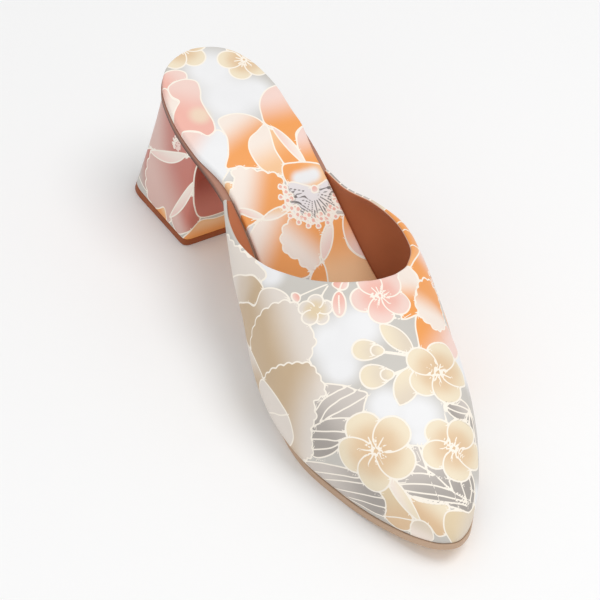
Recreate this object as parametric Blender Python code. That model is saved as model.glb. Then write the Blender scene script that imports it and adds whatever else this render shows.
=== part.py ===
"""Block heel mule for the left foot: outsole, insole, upper, heel block and top lift.

The toe points along +X, the wearer's left (the outer side of this foot) is +Y and the floor is z = 0.
Sizes are in millimetres and are turned into metres when a mesh is made. Stations are shares of the
length and run forward from the back of the heel seat, and y = 0 is the heel's own middle line.
"""

from typing import Callable, NamedTuple

import bmesh
import bpy
import numpy as np

MM = 0.001

# Driving dimensions
LENGTH = 248.0          # sole, heel seat to toe tip, size 37
BALL_WIDTH = 76.0       # sole across the ball
INSTEP = 52.0           # throat above the top of the outsole
HEEL_RISE = 63.0        # underside of the sole above the floor, at the back
SEAT_SLOPE = 0.169      # fall of the heel seat for each unit forward
TOE_SPRING = 8.7        # underside of the toe tip above the floor

# Stations where the sole's side view changes, as shares of the length
SEAT_END = 0.20
TREAD_START = 0.585
SPRING_START = 0.80

# Thicknesses and clearances
OUTSOLE_THICKNESS = 3.0
INSOLE_THICKNESS = 3.0
WALL = 1.8
LIFT_THICKNESS = 4.0
GAP = 0.3
FEATHER_INSET = 0.7     # the upper stands this far inside the sole's edge
SEAT_INSET = 0.5        # the insole stops this far inside the sole's edge at the heel seat
SEAT_ROUNDING = 1.0     # bevel round the insole's top
INSOLE_NARROWS = (0.21, 0.285)   # stations where the insole steps in to clear the upper's wings

# Heel block, in shares of the length and of the ball width
BREAST_TOP = 0.212
BASE_BACK = -0.010
BASE_FRONT = 0.186
BASE_BACK_HALF = 0.398
BASE_FRONT_HALF = 0.341
BASE_BACK_RADIUS = 11.0
BREAST_RADIUS = 3.5
HEEL_INSET = 0.6        # the heel's top stops this far inside the sole's edge
FLARE_POWER = 1.15      # above 1 the flare gathers towards the floor

# Fineness of the curves and meshes
EDGE_SAMPLES = 400      # points on each side of the outline's curve
SECTION_SAMPLES = 80    # points on each side of a heel section's curve
KNOT_POWER = 0.6        # spaces the outline's knots so that its ends stay round
EDGE_STATIONS = 46
SOLE_COLUMNS = 4
FAN_STEPS = 96
RISE_STEPS = 12
HEEL_LEVELS = 7
HEEL_SIDE_STEPS = 26
CORNER_STEPS = 4
ROUNDING_STEPS = 2
MERGE_DISTANCE = 0.01   # closer points are one point
SHARP_ANGLE = 50.0      # degrees, edges that turn more than this stay sharp
UPRIGHT = 0.5           # a face whose normal rises less than this is a side face


class EdgeRow(NamedTuple):
    """One station of the sole's outline: how far it reaches from the middle line, in ball widths."""

    station: float
    medial: float
    lateral: float


class FanRow(NamedTuple):
    """One section of the upper, from the sole's edge (feather) up to the topline.

    The first four numbers place its ends: the feather's station, and the topline's station, reach
    and height over the sole. The last four shape the wall between them, in instep heights: it
    leaves the feather going out by lean and up by rise, and comes to the topline from a point that
    lies out by swell and down by fall.
    """

    name: str
    side: int
    feather: float
    station: float
    reach: float
    over: float
    lean: float
    rise: float
    swell: float
    fall: float


OUTLINE = (
    EdgeRow(0.015, 0.172, 0.174),
    EdgeRow(0.05, 0.273, 0.272),
    EdgeRow(0.12, 0.330, 0.333),
    EdgeRow(0.20, 0.332, 0.334),
    EdgeRow(0.30, 0.277, 0.361),
    EdgeRow(0.42, 0.271, 0.412),
    EdgeRow(0.52, 0.372, 0.467),
    EdgeRow(0.62, 0.508, 0.487),
    EdgeRow(0.72, 0.540, 0.421),
    EdgeRow(0.82, 0.468, 0.297),
    EdgeRow(0.90, 0.382, 0.164),
    EdgeRow(0.96, 0.297, 0.026),
    EdgeRow(0.99, 0.226, -0.072),
)
TIP_REACH = -0.153      # the toe tip swings to the inner side

MEDIAL, TIP, LATERAL = -1, 0, 1
FAN = (
    FanRow("medial wing end", MEDIAL, 0.298, 0.298, -0.295, 0.05, 0.01, 0.02, 0.01, 0.02),
    FanRow("medial wing", MEDIAL, 0.331, 0.331, -0.337, 0.13, 0.04, 0.05, 0.04, 0.03),
    FanRow("medial waist", MEDIAL, 0.379, 0.375, -0.376, 0.31, 0.12, 0.12, 0.11, 0.10),
    FanRow("medial instep", MEDIAL, 0.444, 0.419, -0.384, 0.50, 0.21, 0.17, 0.20, 0.17),
    FanRow("medial joint", MEDIAL, 0.532, 0.462, -0.354, 0.67, 0.22, 0.15, 0.28, 0.17),
    FanRow("medial ball", MEDIAL, 0.637, 0.502, -0.295, 0.82, 0.22, 0.13, 0.40, 0.16),
    FanRow("medial vamp", MEDIAL, 0.750, 0.542, -0.197, 0.93, 0.16, 0.18, 0.71, 0.17),
    FanRow("medial toe", MEDIAL, 0.871, 0.571, -0.092, 0.99, 0.07, 0.23, 0.98, 0.23),
    FanRow("medial nose", MEDIAL, 0.960, 0.584, -0.011, 1.00, 0.03, 0.23, 1.17, 0.33),
    FanRow("toe tip", TIP, 1.000, 0.592, 0.057, 1.00, 0.05, 0.26, 1.15, 0.36),
    FanRow("lateral nose", LATERAL, 0.960, 0.594, 0.118, 0.99, 0.08, 0.29, 0.88, 0.33),
    FanRow("lateral toe", LATERAL, 0.871, 0.592, 0.188, 0.97, 0.04, 0.35, 0.65, 0.26),
    FanRow("lateral vamp", LATERAL, 0.766, 0.584, 0.271, 0.93, 0.03, 0.36, 0.43, 0.20),
    FanRow("lateral ball", LATERAL, 0.665, 0.568, 0.371, 0.89, 0.05, 0.35, 0.29, 0.18),
    FanRow("lateral joint", LATERAL, 0.573, 0.534, 0.459, 0.84, 0.08, 0.29, 0.20, 0.15),
    FanRow("lateral instep", LATERAL, 0.484, 0.472, 0.496, 0.68, 0.10, 0.21, 0.17, 0.08),
    FanRow("lateral waist", LATERAL, 0.395, 0.405, 0.461, 0.43, 0.07, 0.13, 0.05, 0.08),
    FanRow("lateral wing", LATERAL, 0.339, 0.347, 0.382, 0.19, 0.02, 0.05, 0.01, 0.03),
    FanRow("lateral wing end", LATERAL, 0.302, 0.304, 0.355, 0.06, 0.01, 0.02, 0.01, 0.02),
)


def smooth_through(knots: np.ndarray, rows: np.ndarray, at: np.ndarray) -> np.ndarray:
    """Reads a smooth curve through rows of values, each at its own knot."""
    span = np.diff(knots)[:, None]
    slope = np.diff(rows, axis=0) / span
    share = span[1:] / (span[1:] + span[:-1])
    tangent = np.vstack([slope[:1], share * slope[:-1] + (1 - share) * slope[1:], slope[-1:]])
    i = np.clip(np.searchsorted(knots, at) - 1, 0, len(knots) - 2)
    h = span[i]
    s = (np.asarray(at) - knots[i])[:, None] / h
    start = (2 * s**3 - 3 * s**2 + 1) * rows[i] + (s**3 - 2 * s**2 + s) * h * tangent[i]
    end = (3 * s**2 - 2 * s**3) * rows[i + 1] + (s**3 - s**2) * h * tangent[i + 1]
    return start + end


def path_length(points: np.ndarray) -> np.ndarray:
    """Distance along a run of points, from its first point."""
    return np.concatenate([[0.0], np.cumsum(np.linalg.norm(np.diff(points, axis=0), axis=1))])


def sole_edge() -> tuple[np.ndarray, np.ndarray]:
    """The sole's outline seen from above: its medial and its lateral edge, each heel to toe."""
    medial = [(row.station * LENGTH, -row.medial * BALL_WIDTH) for row in OUTLINE]
    lateral = [(row.station * LENGTH, row.lateral * BALL_WIDTH) for row in OUTLINE]
    heel, tip = (0.0, 0.0), (LENGTH, TIP_REACH * BALL_WIDTH)
    loop = np.array([lateral[1], lateral[0], heel, *medial, tip, *lateral[::-1], heel, medial[0], medial[1]])
    chord = np.linalg.norm(np.diff(loop, axis=0), axis=1)
    knots = np.concatenate([[0.0], np.cumsum(chord**KNOT_POWER)])
    heel_at, tip_at, heel_again = 2, 3 + len(OUTLINE), len(loop) - 3
    toward_toe = smooth_through(knots, loop, np.linspace(knots[heel_at], knots[tip_at], EDGE_SAMPLES))
    toward_heel = smooth_through(knots, loop, np.linspace(knots[tip_at], knots[heel_again], EDGE_SAMPLES))
    return toward_toe, toward_heel[::-1]


MEDIAL_EDGE, LATERAL_EDGE = sole_edge()
EDGE_RUN = np.vstack([MEDIAL_EDGE, LATERAL_EDGE[::-1][1:]])
EDGE_LENGTH = path_length(EDGE_RUN)


def sole_rise(x: np.ndarray) -> np.ndarray:
    """Height of the sole's underside: sloping seat, arch, flat tread and toe spring."""
    seat_end, tread, spring = SEAT_END * LENGTH, TREAD_START * LENGTH, SPRING_START * LENGTH
    arch = tread - seat_end
    q = np.clip((x - seat_end) / arch, 0, 1)
    seat_height = HEEL_RISE - SEAT_SLOPE * np.minimum(x, seat_end)
    blend = 2 * q**3 - 3 * q**2 + 1
    curve = seat_height * blend - (q**3 - 2 * q**2 + q) * arch * SEAT_SLOPE
    toe = np.clip((x - spring) / (LENGTH - spring), 0, None)
    return curve + TOE_SPRING * toe**2


def edge_at(run: np.ndarray) -> tuple[np.ndarray, np.ndarray]:
    """Points of the outline at distances along its edge, with their outward directions."""
    def point(at: np.ndarray) -> np.ndarray:
        return np.column_stack([np.interp(at, EDGE_LENGTH, EDGE_RUN[:, k]) for k in (0, 1)])
    half_step = 2.0
    along = point(run + half_step) - point(run - half_step)
    along /= np.linalg.norm(along, axis=1)[:, None]
    return point(run), np.column_stack([along[:, 1], -along[:, 0]])


def feather_run(row: FanRow) -> float:
    """Distance along the outline's edge at which a section of the upper starts."""
    x, tip = row.feather * LENGTH, len(MEDIAL_EDGE) - 1
    if row.side == MEDIAL:
        return float(np.interp(x, MEDIAL_EDGE[:, 0], EDGE_LENGTH[: tip + 1]))
    if row.side == LATERAL:
        return float(np.interp(-x, -EDGE_RUN[tip:, 0], EDGE_LENGTH[tip:]))
    return float(EDGE_LENGTH[tip])


def upper_sheet() -> np.ndarray:
    """The upper's outer face as a grid: a column for each section, feather to topline."""
    runs = np.array([feather_run(row) for row in FAN])
    tops = np.array([[row.station * LENGTH, row.reach * BALL_WIDTH, row.over * INSTEP] for row in FAN])
    walls = np.array([(row.lean, row.rise, row.swell, row.fall) for row in FAN]) * INSTEP
    run = np.linspace(runs[0], runs[-1], FAN_STEPS + 1)
    top = smooth_through(runs, tops, run)
    top[:, 2] += sole_rise(top[:, 0]) + OUTSOLE_THICKNESS
    lean, rise, swell, fall = (column[:, None] for column in smooth_through(runs, walls, run).T)
    edge, outward = edge_at(run)
    foot = edge - outward * FEATHER_INSET
    feather = np.column_stack([foot, sole_rise(foot[:, 0]) + OUTSOLE_THICKNESS + GAP])
    out, up = np.column_stack([outward, np.zeros(len(run))]), np.array([0.0, 0.0, 1.0])
    first, second = feather + out * lean + up * rise, top + out * swell - up * fall
    v = np.linspace(0, 1, RISE_STEPS + 1)[None, :, None]
    weights = ((1 - v) ** 3, 3 * v * (1 - v) ** 2, 3 * v**2 * (1 - v), v**3)
    return sum(w * p[:, None, :] for w, p in zip(weights, (feather, first, second, top)))


def edge_pairs(inset: Callable[[np.ndarray], np.ndarray]) -> tuple[np.ndarray, np.ndarray]:
    """Matching points of the medial and lateral edge, set in by a distance that depends on the station.

    The points crowd towards the round ends, and the first and last pair are each one shared point.
    """
    share = 0.5 - 0.5 * np.cos(np.linspace(0, np.pi, EDGE_STATIONS + 1))
    tip = EDGE_LENGTH[len(MEDIAL_EDGE) - 1]
    sides = []
    for run in (share * tip, EDGE_LENGTH[-1] - share * (EDGE_LENGTH[-1] - tip)):
        edge, outward = edge_at(run)
        sides.append(edge - outward * inset(edge[:, 0])[:, None])
    for end, direction in ((0, 1.0), (-1, -1.0)):
        corner = np.array([(0.0, 0.0), (LENGTH, TIP_REACH * BALL_WIDTH)][end])
        corner[0] += direction * inset(corner[:1])[0]
        sides[0][end] = sides[1][end] = corner
    return sides[0], sides[1]


def finish_mesh(bm: bmesh.types.BMesh, name: str, material: bpy.types.Material) -> bpy.types.Object:
    """Makes an object from a mesh in millimetres: outward faces, smooth shading and its material."""
    bmesh.ops.remove_doubles(bm, verts=bm.verts, dist=MERGE_DISTANCE)
    bmesh.ops.recalc_face_normals(bm, faces=bm.faces)
    bmesh.ops.scale(bm, vec=(MM, MM, MM), verts=bm.verts)
    mesh = bpy.data.meshes.new(name)
    bm.to_mesh(mesh)
    bm.free()
    mesh.shade_smooth()
    mesh.set_sharp_from_angle(angle=np.radians(SHARP_ANGLE))
    mesh.materials.append(material)
    obj = bpy.data.objects.new(name, mesh)
    bpy.context.collection.objects.link(obj)
    return obj


def add_grid(bm: bmesh.types.BMesh, points: np.ndarray) -> None:
    """Adds a grid of points as quads."""
    verts = [[bm.verts.new(p) for p in row] for row in points]
    for a, b in zip(verts, verts[1:]):
        for k in range(len(a) - 1):
            bm.faces.new((a[k], a[k + 1], b[k + 1], b[k]))


def sole_sheet(inset: Callable[[np.ndarray], np.ndarray], lift: float) -> np.ndarray:
    """A sheet inside the outline that follows the sole's side view, raised by lift."""
    medial, lateral = edge_pairs(inset)
    t = np.linspace(0, 1, SOLE_COLUMNS + 1)[None, :, None]
    plan = medial[:, None, :] * (1 - t) + lateral[:, None, :] * t
    return np.concatenate([plan, sole_rise(plan[..., :1]) + lift], axis=2)


def make_plate(name: str, material: bpy.types.Material, sheet: np.ndarray, thickness: float,
               rounding: float = 0.0) -> bpy.types.Object:
    """A sole layer: a sheet drawn straight up to its thickness, its top edge rounded if asked."""
    bm = bmesh.new()
    add_grid(bm, sheet)
    bmesh.ops.remove_doubles(bm, verts=bm.verts, dist=MERGE_DISTANCE)
    raised = bmesh.ops.extrude_face_region(bm, geom=bm.faces[:], use_keep_orig=True)["geom"]
    top = [item for item in raised if isinstance(item, bmesh.types.BMVert)]
    bmesh.ops.translate(bm, verts=top, vec=(0, 0, thickness))
    if rounding:
        bm.normal_update()
        edges = [item for item in raised if isinstance(item, bmesh.types.BMEdge)]
        rim = [edge for edge in edges if min(abs(face.normal.z) for face in edge.link_faces) < UPRIGHT]
        bmesh.ops.bevel(bm, geom=rim, offset=rounding, segments=ROUNDING_STEPS, profile=0.5, affect="EDGES")
    return finish_mesh(bm, name, material)


def make_upper(material: bpy.types.Material) -> bpy.types.Object:
    """The upper: its outer face, thickened inwards to the real wall."""
    bm = bmesh.new()
    add_grid(bm, upper_sheet())
    obj = finish_mesh(bm, "upper", material)
    wall = obj.modifiers.new("wall", "SOLIDIFY")
    wall.thickness = WALL * MM
    wall.offset = -1.0
    wall.use_quality_normals = True
    return obj


def corner_arc(before: np.ndarray, corner: np.ndarray, after: np.ndarray) -> np.ndarray:
    """Points that round a corner between two points on its sides."""
    t = np.linspace(0, 1, CORNER_STEPS + 1)[:, None]
    return (1 - t) ** 2 * before + 2 * t * (1 - t) * corner + t**2 * after


def heel_loop(medial: np.ndarray, lateral: np.ndarray) -> np.ndarray:
    """Joins a heel section's sides, each from breast to back, with rounded corners at the breast."""
    run = path_length(medial)
    trim = np.linspace(BREAST_RADIUS, run[-1], HEEL_SIDE_STEPS)
    halves = [np.column_stack([np.interp(trim, path_length(half), half[:, k]) for k in (0, 1)])
              for half in (medial, lateral)]
    across = lateral[0] - medial[0]
    across /= np.linalg.norm(across)
    near = [medial[0] + across * BREAST_RADIUS, lateral[0] - across * BREAST_RADIUS]
    corners = [corner_arc(halves[0][0], medial[0], near[0]), corner_arc(near[1], lateral[0], halves[1][0])]
    return np.vstack([halves[0][:0:-1], corners[0], corners[1], halves[1][1:-1]])


def seat_sides() -> tuple[np.ndarray, np.ndarray]:
    """The heel's top outline under the seat: each side from the breast back to the middle."""
    sides = []
    for edge, run_out in ((MEDIAL_EDGE, -1.0), (LATERAL_EDGE, 1.0)):
        x = BREAST_TOP * LENGTH * (0.5 + 0.5 * np.cos(np.linspace(0, np.pi, SECTION_SAMPLES)))
        y = np.interp(x, edge[:, 0], edge[:, 1])
        shrink = 1 - HEEL_INSET / (BREAST_TOP * LENGTH)
        inset = np.where(y == 0, 0.0, run_out * HEEL_INSET)
        sides.append(np.column_stack([HEEL_INSET + x * shrink, y - inset]))
    return sides[0], sides[1]


def base_sides() -> tuple[np.ndarray, np.ndarray]:
    """The heel's outline at the floor: each side from the breast round its back corner to the middle."""
    back, front = BASE_BACK * LENGTH, BASE_FRONT * LENGTH
    sides = []
    for sign in (-1.0, 1.0):
        breast = np.array([front, sign * BASE_FRONT_HALF * BALL_WIDTH])
        corner = np.array([back, sign * BASE_BACK_HALF * BALL_WIDTH])
        along = (breast - corner) / np.linalg.norm(breast - corner)
        turn = corner_arc(corner + along * BASE_BACK_RADIUS, corner,
                          corner - np.array([0.0, sign * BASE_BACK_RADIUS]))
        sides.append(np.vstack([breast, turn, [back, 0.0]]))
    return sides[0], sides[1]


def even_steps(line: np.ndarray) -> np.ndarray:
    """The same line with points at even distances."""
    run = path_length(line)
    at = np.linspace(0, run[-1], SECTION_SAMPLES)
    return np.column_stack([np.interp(at, run, line[:, k]) for k in (0, 1)])


def heel_section(height: float) -> np.ndarray:
    """The heel's closed outline at a share of its height, from the floor (0) to the seat (1)."""
    flare = (1 - height) ** FLARE_POWER
    sides = [even_steps(seat) * (1 - flare) + even_steps(base) * flare
             for seat, base in zip(seat_sides(), base_sides())]
    return heel_loop(*sides)


def stack_rings(name: str, material: bpy.types.Material, rings: list[np.ndarray]) -> bpy.types.Object:
    """A closed solid through rings of points with flat ends."""
    bm = bmesh.new()
    loops = [[bm.verts.new(p) for p in ring] for ring in rings]
    for low, high in zip(loops, loops[1:]):
        for k in range(len(low)):
            n = (k + 1) % len(low)
            bm.faces.new((low[k], low[n], high[n], high[k]))
    bm.faces.new(loops[0])
    bm.faces.new(loops[-1])
    return finish_mesh(bm, name, material)


def make_heel(material: bpy.types.Material) -> bpy.types.Object:
    """The heel block: sections from its squarish base up to the sloping seat."""
    bottom = LIFT_THICKNESS + GAP
    floor_share = bottom / HEEL_RISE
    seat = heel_section(1.0)
    seat_z = HEEL_RISE - SEAT_SLOPE * seat[:, 0] - GAP
    rings = []
    for level in np.linspace(0, 1, HEEL_LEVELS):
        plan = heel_section(floor_share + (1 - floor_share) * level)
        rings.append(np.column_stack([plan, bottom + (seat_z - bottom) * level]))
    return stack_rings("heel_block", material, rings)


def make_top_lift(material: bpy.types.Material) -> bpy.types.Object:
    """The top lift: a flat piece with the outline of the heel's base."""
    rings = []
    for z in (0.0, LIFT_THICKNESS):
        plan = heel_section(z / HEEL_RISE)
        rings.append(np.column_stack([plan, np.full(len(plan), z)]))
    return stack_rings("top_lift", material, rings)


def make_material(name: str, colour: tuple[float, float, float], roughness: float) -> bpy.types.Material:
    """A plain material with the piece's colour and gloss."""
    material = bpy.data.materials.new(name)
    material.use_nodes = True
    shader = material.node_tree.nodes["Principled BSDF"]
    shader.inputs["Base Color"].default_value = (*colour, 1.0)
    shader.inputs["Roughness"].default_value = roughness
    shader.inputs["Metallic"].default_value = 0.0
    return material


def insole_inset(x: np.ndarray) -> np.ndarray:
    """How far the insole lies inside the sole's edge: little at the seat, clear of the wall in front."""
    start, end = (share * LENGTH for share in INSOLE_NARROWS)
    q = np.clip((x - start) / (end - start), 0, 1)
    clear_of_wall = FEATHER_INSET + WALL + 2 * GAP
    return SEAT_INSET + (clear_of_wall - SEAT_INSET) * q * q * (3 - 2 * q)


def main() -> None:
    """Builds the five pieces and centres them over the middle of the floor they cover."""
    for obj in list(bpy.data.objects):
        bpy.data.objects.remove(obj, do_unlink=True)
    no_inset = np.zeros_like
    footbed = OUTSOLE_THICKNESS + GAP
    pieces = [
        make_plate("outsole", make_material("tan_sheet", (0.62, 0.38, 0.22), 0.55),
                   sole_sheet(no_inset, 0.0), OUTSOLE_THICKNESS),
        make_plate("insole", make_material("printed_sock", (0.80, 0.52, 0.36), 0.5),
                   sole_sheet(insole_inset, footbed), INSOLE_THICKNESS, SEAT_ROUNDING),
        make_upper(make_material("printed_upper", (0.62, 0.60, 0.57), 0.45)),
        make_heel(make_material("printed_heel", (0.62, 0.30, 0.25), 0.45)),
        make_top_lift(make_material("lift_rubber", (0.34, 0.12, 0.04), 0.5)),
    ]
    corners = np.array([v.co for piece in pieces for v in piece.data.vertices])
    low, high = corners.min(axis=0), corners.max(axis=0)
    middle = bpy.data.objects.new("mule", None)
    middle.location = (-(low[0] + high[0]) / 2, -(low[1] + high[1]) / 2, -low[2])
    bpy.context.collection.objects.link(middle)
    for piece in pieces:
        piece.parent = middle


if __name__ == "__main__":
    main()
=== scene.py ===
"""Looks of a block heel mule: printed upper, footbed and heel, brown lining, tan sole and top lift.

Sizes are in millimetres and are turned into metres when a mesh is made. The last's own frame has its
origin at the back of the heel seat, with x to the toe and y to the wearer's left. The print is charted
in millimetres on each piece laid flat.
"""

import logging
import math
from dataclasses import dataclass, field
from enum import Enum
from typing import NamedTuple

import bpy
import numpy as np
from mathutils import Matrix, Vector


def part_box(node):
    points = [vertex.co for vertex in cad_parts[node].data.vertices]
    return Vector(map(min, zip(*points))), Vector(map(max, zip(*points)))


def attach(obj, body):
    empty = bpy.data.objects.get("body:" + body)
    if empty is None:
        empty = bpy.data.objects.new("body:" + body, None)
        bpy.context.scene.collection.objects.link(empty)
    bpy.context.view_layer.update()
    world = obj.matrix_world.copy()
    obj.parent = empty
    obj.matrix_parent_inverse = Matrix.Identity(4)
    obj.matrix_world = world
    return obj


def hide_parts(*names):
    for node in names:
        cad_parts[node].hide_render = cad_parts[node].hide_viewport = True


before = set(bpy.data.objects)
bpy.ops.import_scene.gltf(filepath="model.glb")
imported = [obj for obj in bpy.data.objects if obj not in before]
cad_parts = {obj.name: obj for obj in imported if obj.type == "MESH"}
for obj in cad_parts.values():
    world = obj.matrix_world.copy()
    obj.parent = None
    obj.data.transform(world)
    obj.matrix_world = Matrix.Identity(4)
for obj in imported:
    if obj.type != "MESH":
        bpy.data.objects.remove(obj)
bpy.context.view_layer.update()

LOG = logging.getLogger("mule")
MM = 0.001
TINY = 1e-9             # keeps a division from failing
MERGE_DISTANCE = 1e-6   # metres, closer points are one point
SMOOTH_ANGLE = 40.0     # degrees, edges that turn more than this stay sharp


class EdgeRow(NamedTuple):
    """One station of the sole's outline: its reach from the middle line, in ball widths."""

    station: float
    medial: float
    lateral: float


class FanRow(NamedTuple):
    """One section of the upper, from the sole's edge up to the topline.

    The first four numbers place its ends: the sole edge's station, and the topline's station, reach
    and height over the sole. The last four shape the wall between them, in instep heights.
    """

    side: int
    feather: float
    station: float
    reach: float
    over: float
    lean: float
    rise: float
    swell: float
    fall: float


MEDIAL, TIP, LATERAL = -1, 0, 1
OUTLINE = (
    EdgeRow(0.015, 0.172, 0.174),
    EdgeRow(0.05, 0.273, 0.272),
    EdgeRow(0.12, 0.330, 0.333),
    EdgeRow(0.20, 0.332, 0.334),
    EdgeRow(0.30, 0.277, 0.361),
    EdgeRow(0.42, 0.271, 0.412),
    EdgeRow(0.52, 0.372, 0.467),
    EdgeRow(0.62, 0.508, 0.487),
    EdgeRow(0.72, 0.540, 0.421),
    EdgeRow(0.82, 0.468, 0.297),
    EdgeRow(0.90, 0.382, 0.164),
    EdgeRow(0.96, 0.297, 0.026),
    EdgeRow(0.99, 0.226, -0.072),
)
FAN = (
    FanRow(MEDIAL, 0.298, 0.298, -0.295, 0.05, 0.01, 0.02, 0.01, 0.02),
    FanRow(MEDIAL, 0.331, 0.331, -0.337, 0.13, 0.04, 0.05, 0.04, 0.03),
    FanRow(MEDIAL, 0.379, 0.375, -0.376, 0.31, 0.12, 0.12, 0.11, 0.10),
    FanRow(MEDIAL, 0.444, 0.419, -0.384, 0.50, 0.21, 0.17, 0.20, 0.17),
    FanRow(MEDIAL, 0.532, 0.462, -0.354, 0.67, 0.22, 0.15, 0.28, 0.17),
    FanRow(MEDIAL, 0.637, 0.502, -0.295, 0.82, 0.22, 0.13, 0.40, 0.16),
    FanRow(MEDIAL, 0.750, 0.542, -0.197, 0.93, 0.16, 0.18, 0.71, 0.17),
    FanRow(MEDIAL, 0.871, 0.571, -0.092, 0.99, 0.07, 0.23, 0.98, 0.23),
    FanRow(MEDIAL, 0.960, 0.584, -0.011, 1.00, 0.03, 0.23, 1.17, 0.33),
    FanRow(TIP, 1.000, 0.592, 0.057, 1.00, 0.05, 0.26, 1.15, 0.36),
    FanRow(LATERAL, 0.960, 0.594, 0.118, 0.99, 0.08, 0.29, 0.88, 0.33),
    FanRow(LATERAL, 0.871, 0.592, 0.188, 0.97, 0.04, 0.35, 0.65, 0.26),
    FanRow(LATERAL, 0.766, 0.584, 0.271, 0.93, 0.03, 0.36, 0.43, 0.20),
    FanRow(LATERAL, 0.665, 0.568, 0.371, 0.89, 0.05, 0.35, 0.29, 0.18),
    FanRow(LATERAL, 0.573, 0.534, 0.459, 0.84, 0.08, 0.29, 0.20, 0.15),
    FanRow(LATERAL, 0.484, 0.472, 0.496, 0.68, 0.10, 0.21, 0.17, 0.08),
    FanRow(LATERAL, 0.395, 0.405, 0.461, 0.43, 0.07, 0.13, 0.05, 0.08),
    FanRow(LATERAL, 0.339, 0.347, 0.382, 0.19, 0.02, 0.05, 0.01, 0.03),
    FanRow(LATERAL, 0.302, 0.304, 0.355, 0.06, 0.01, 0.02, 0.01, 0.02),
)


def smooth_through(knots: np.ndarray, rows: np.ndarray, at: np.ndarray) -> np.ndarray:
    """Reads a smooth curve through rows of values, each at its own knot.

    Args:
        knots: Rising positions of the rows.
        rows: One row of values for each knot.
        at: Positions to read.

    Returns:
        One row of values for each position.
    """
    span = np.diff(knots)[:, None]
    slope = np.diff(rows, axis=0) / span
    share = span[1:] / (span[1:] + span[:-1])
    tangent = np.vstack([slope[:1], share * slope[:-1] + (1 - share) * slope[1:], slope[-1:]])
    i = np.clip(np.searchsorted(knots, at) - 1, 0, len(knots) - 2)
    h = span[i]
    s = (np.asarray(at) - knots[i])[:, None] / h
    start = (2 * s**3 - 3 * s**2 + 1) * rows[i] + (s**3 - 2 * s**2 + s) * h * tangent[i]
    end = (3 * s**2 - 2 * s**3) * rows[i + 1] + (s**3 - s**2) * h * tangent[i + 1]
    return start + end


def path_length(points: np.ndarray) -> np.ndarray:
    """Distance along a run of points, from its first point."""
    return np.concatenate([[0.0], np.cumsum(np.linalg.norm(np.diff(points, axis=0), axis=1))])


def along_path(points: np.ndarray, at: np.ndarray) -> np.ndarray:
    """Points at given distances along a run of points."""
    run = path_length(points)
    return np.column_stack([np.interp(at, run, points[:, k]) for k in range(points.shape[1])])


def ease(x: np.ndarray) -> np.ndarray:
    """A soft step from 0 to 1."""
    q = np.clip(x, 0.0, 1.0)
    return q * q * (3 - 2 * q)


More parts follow.
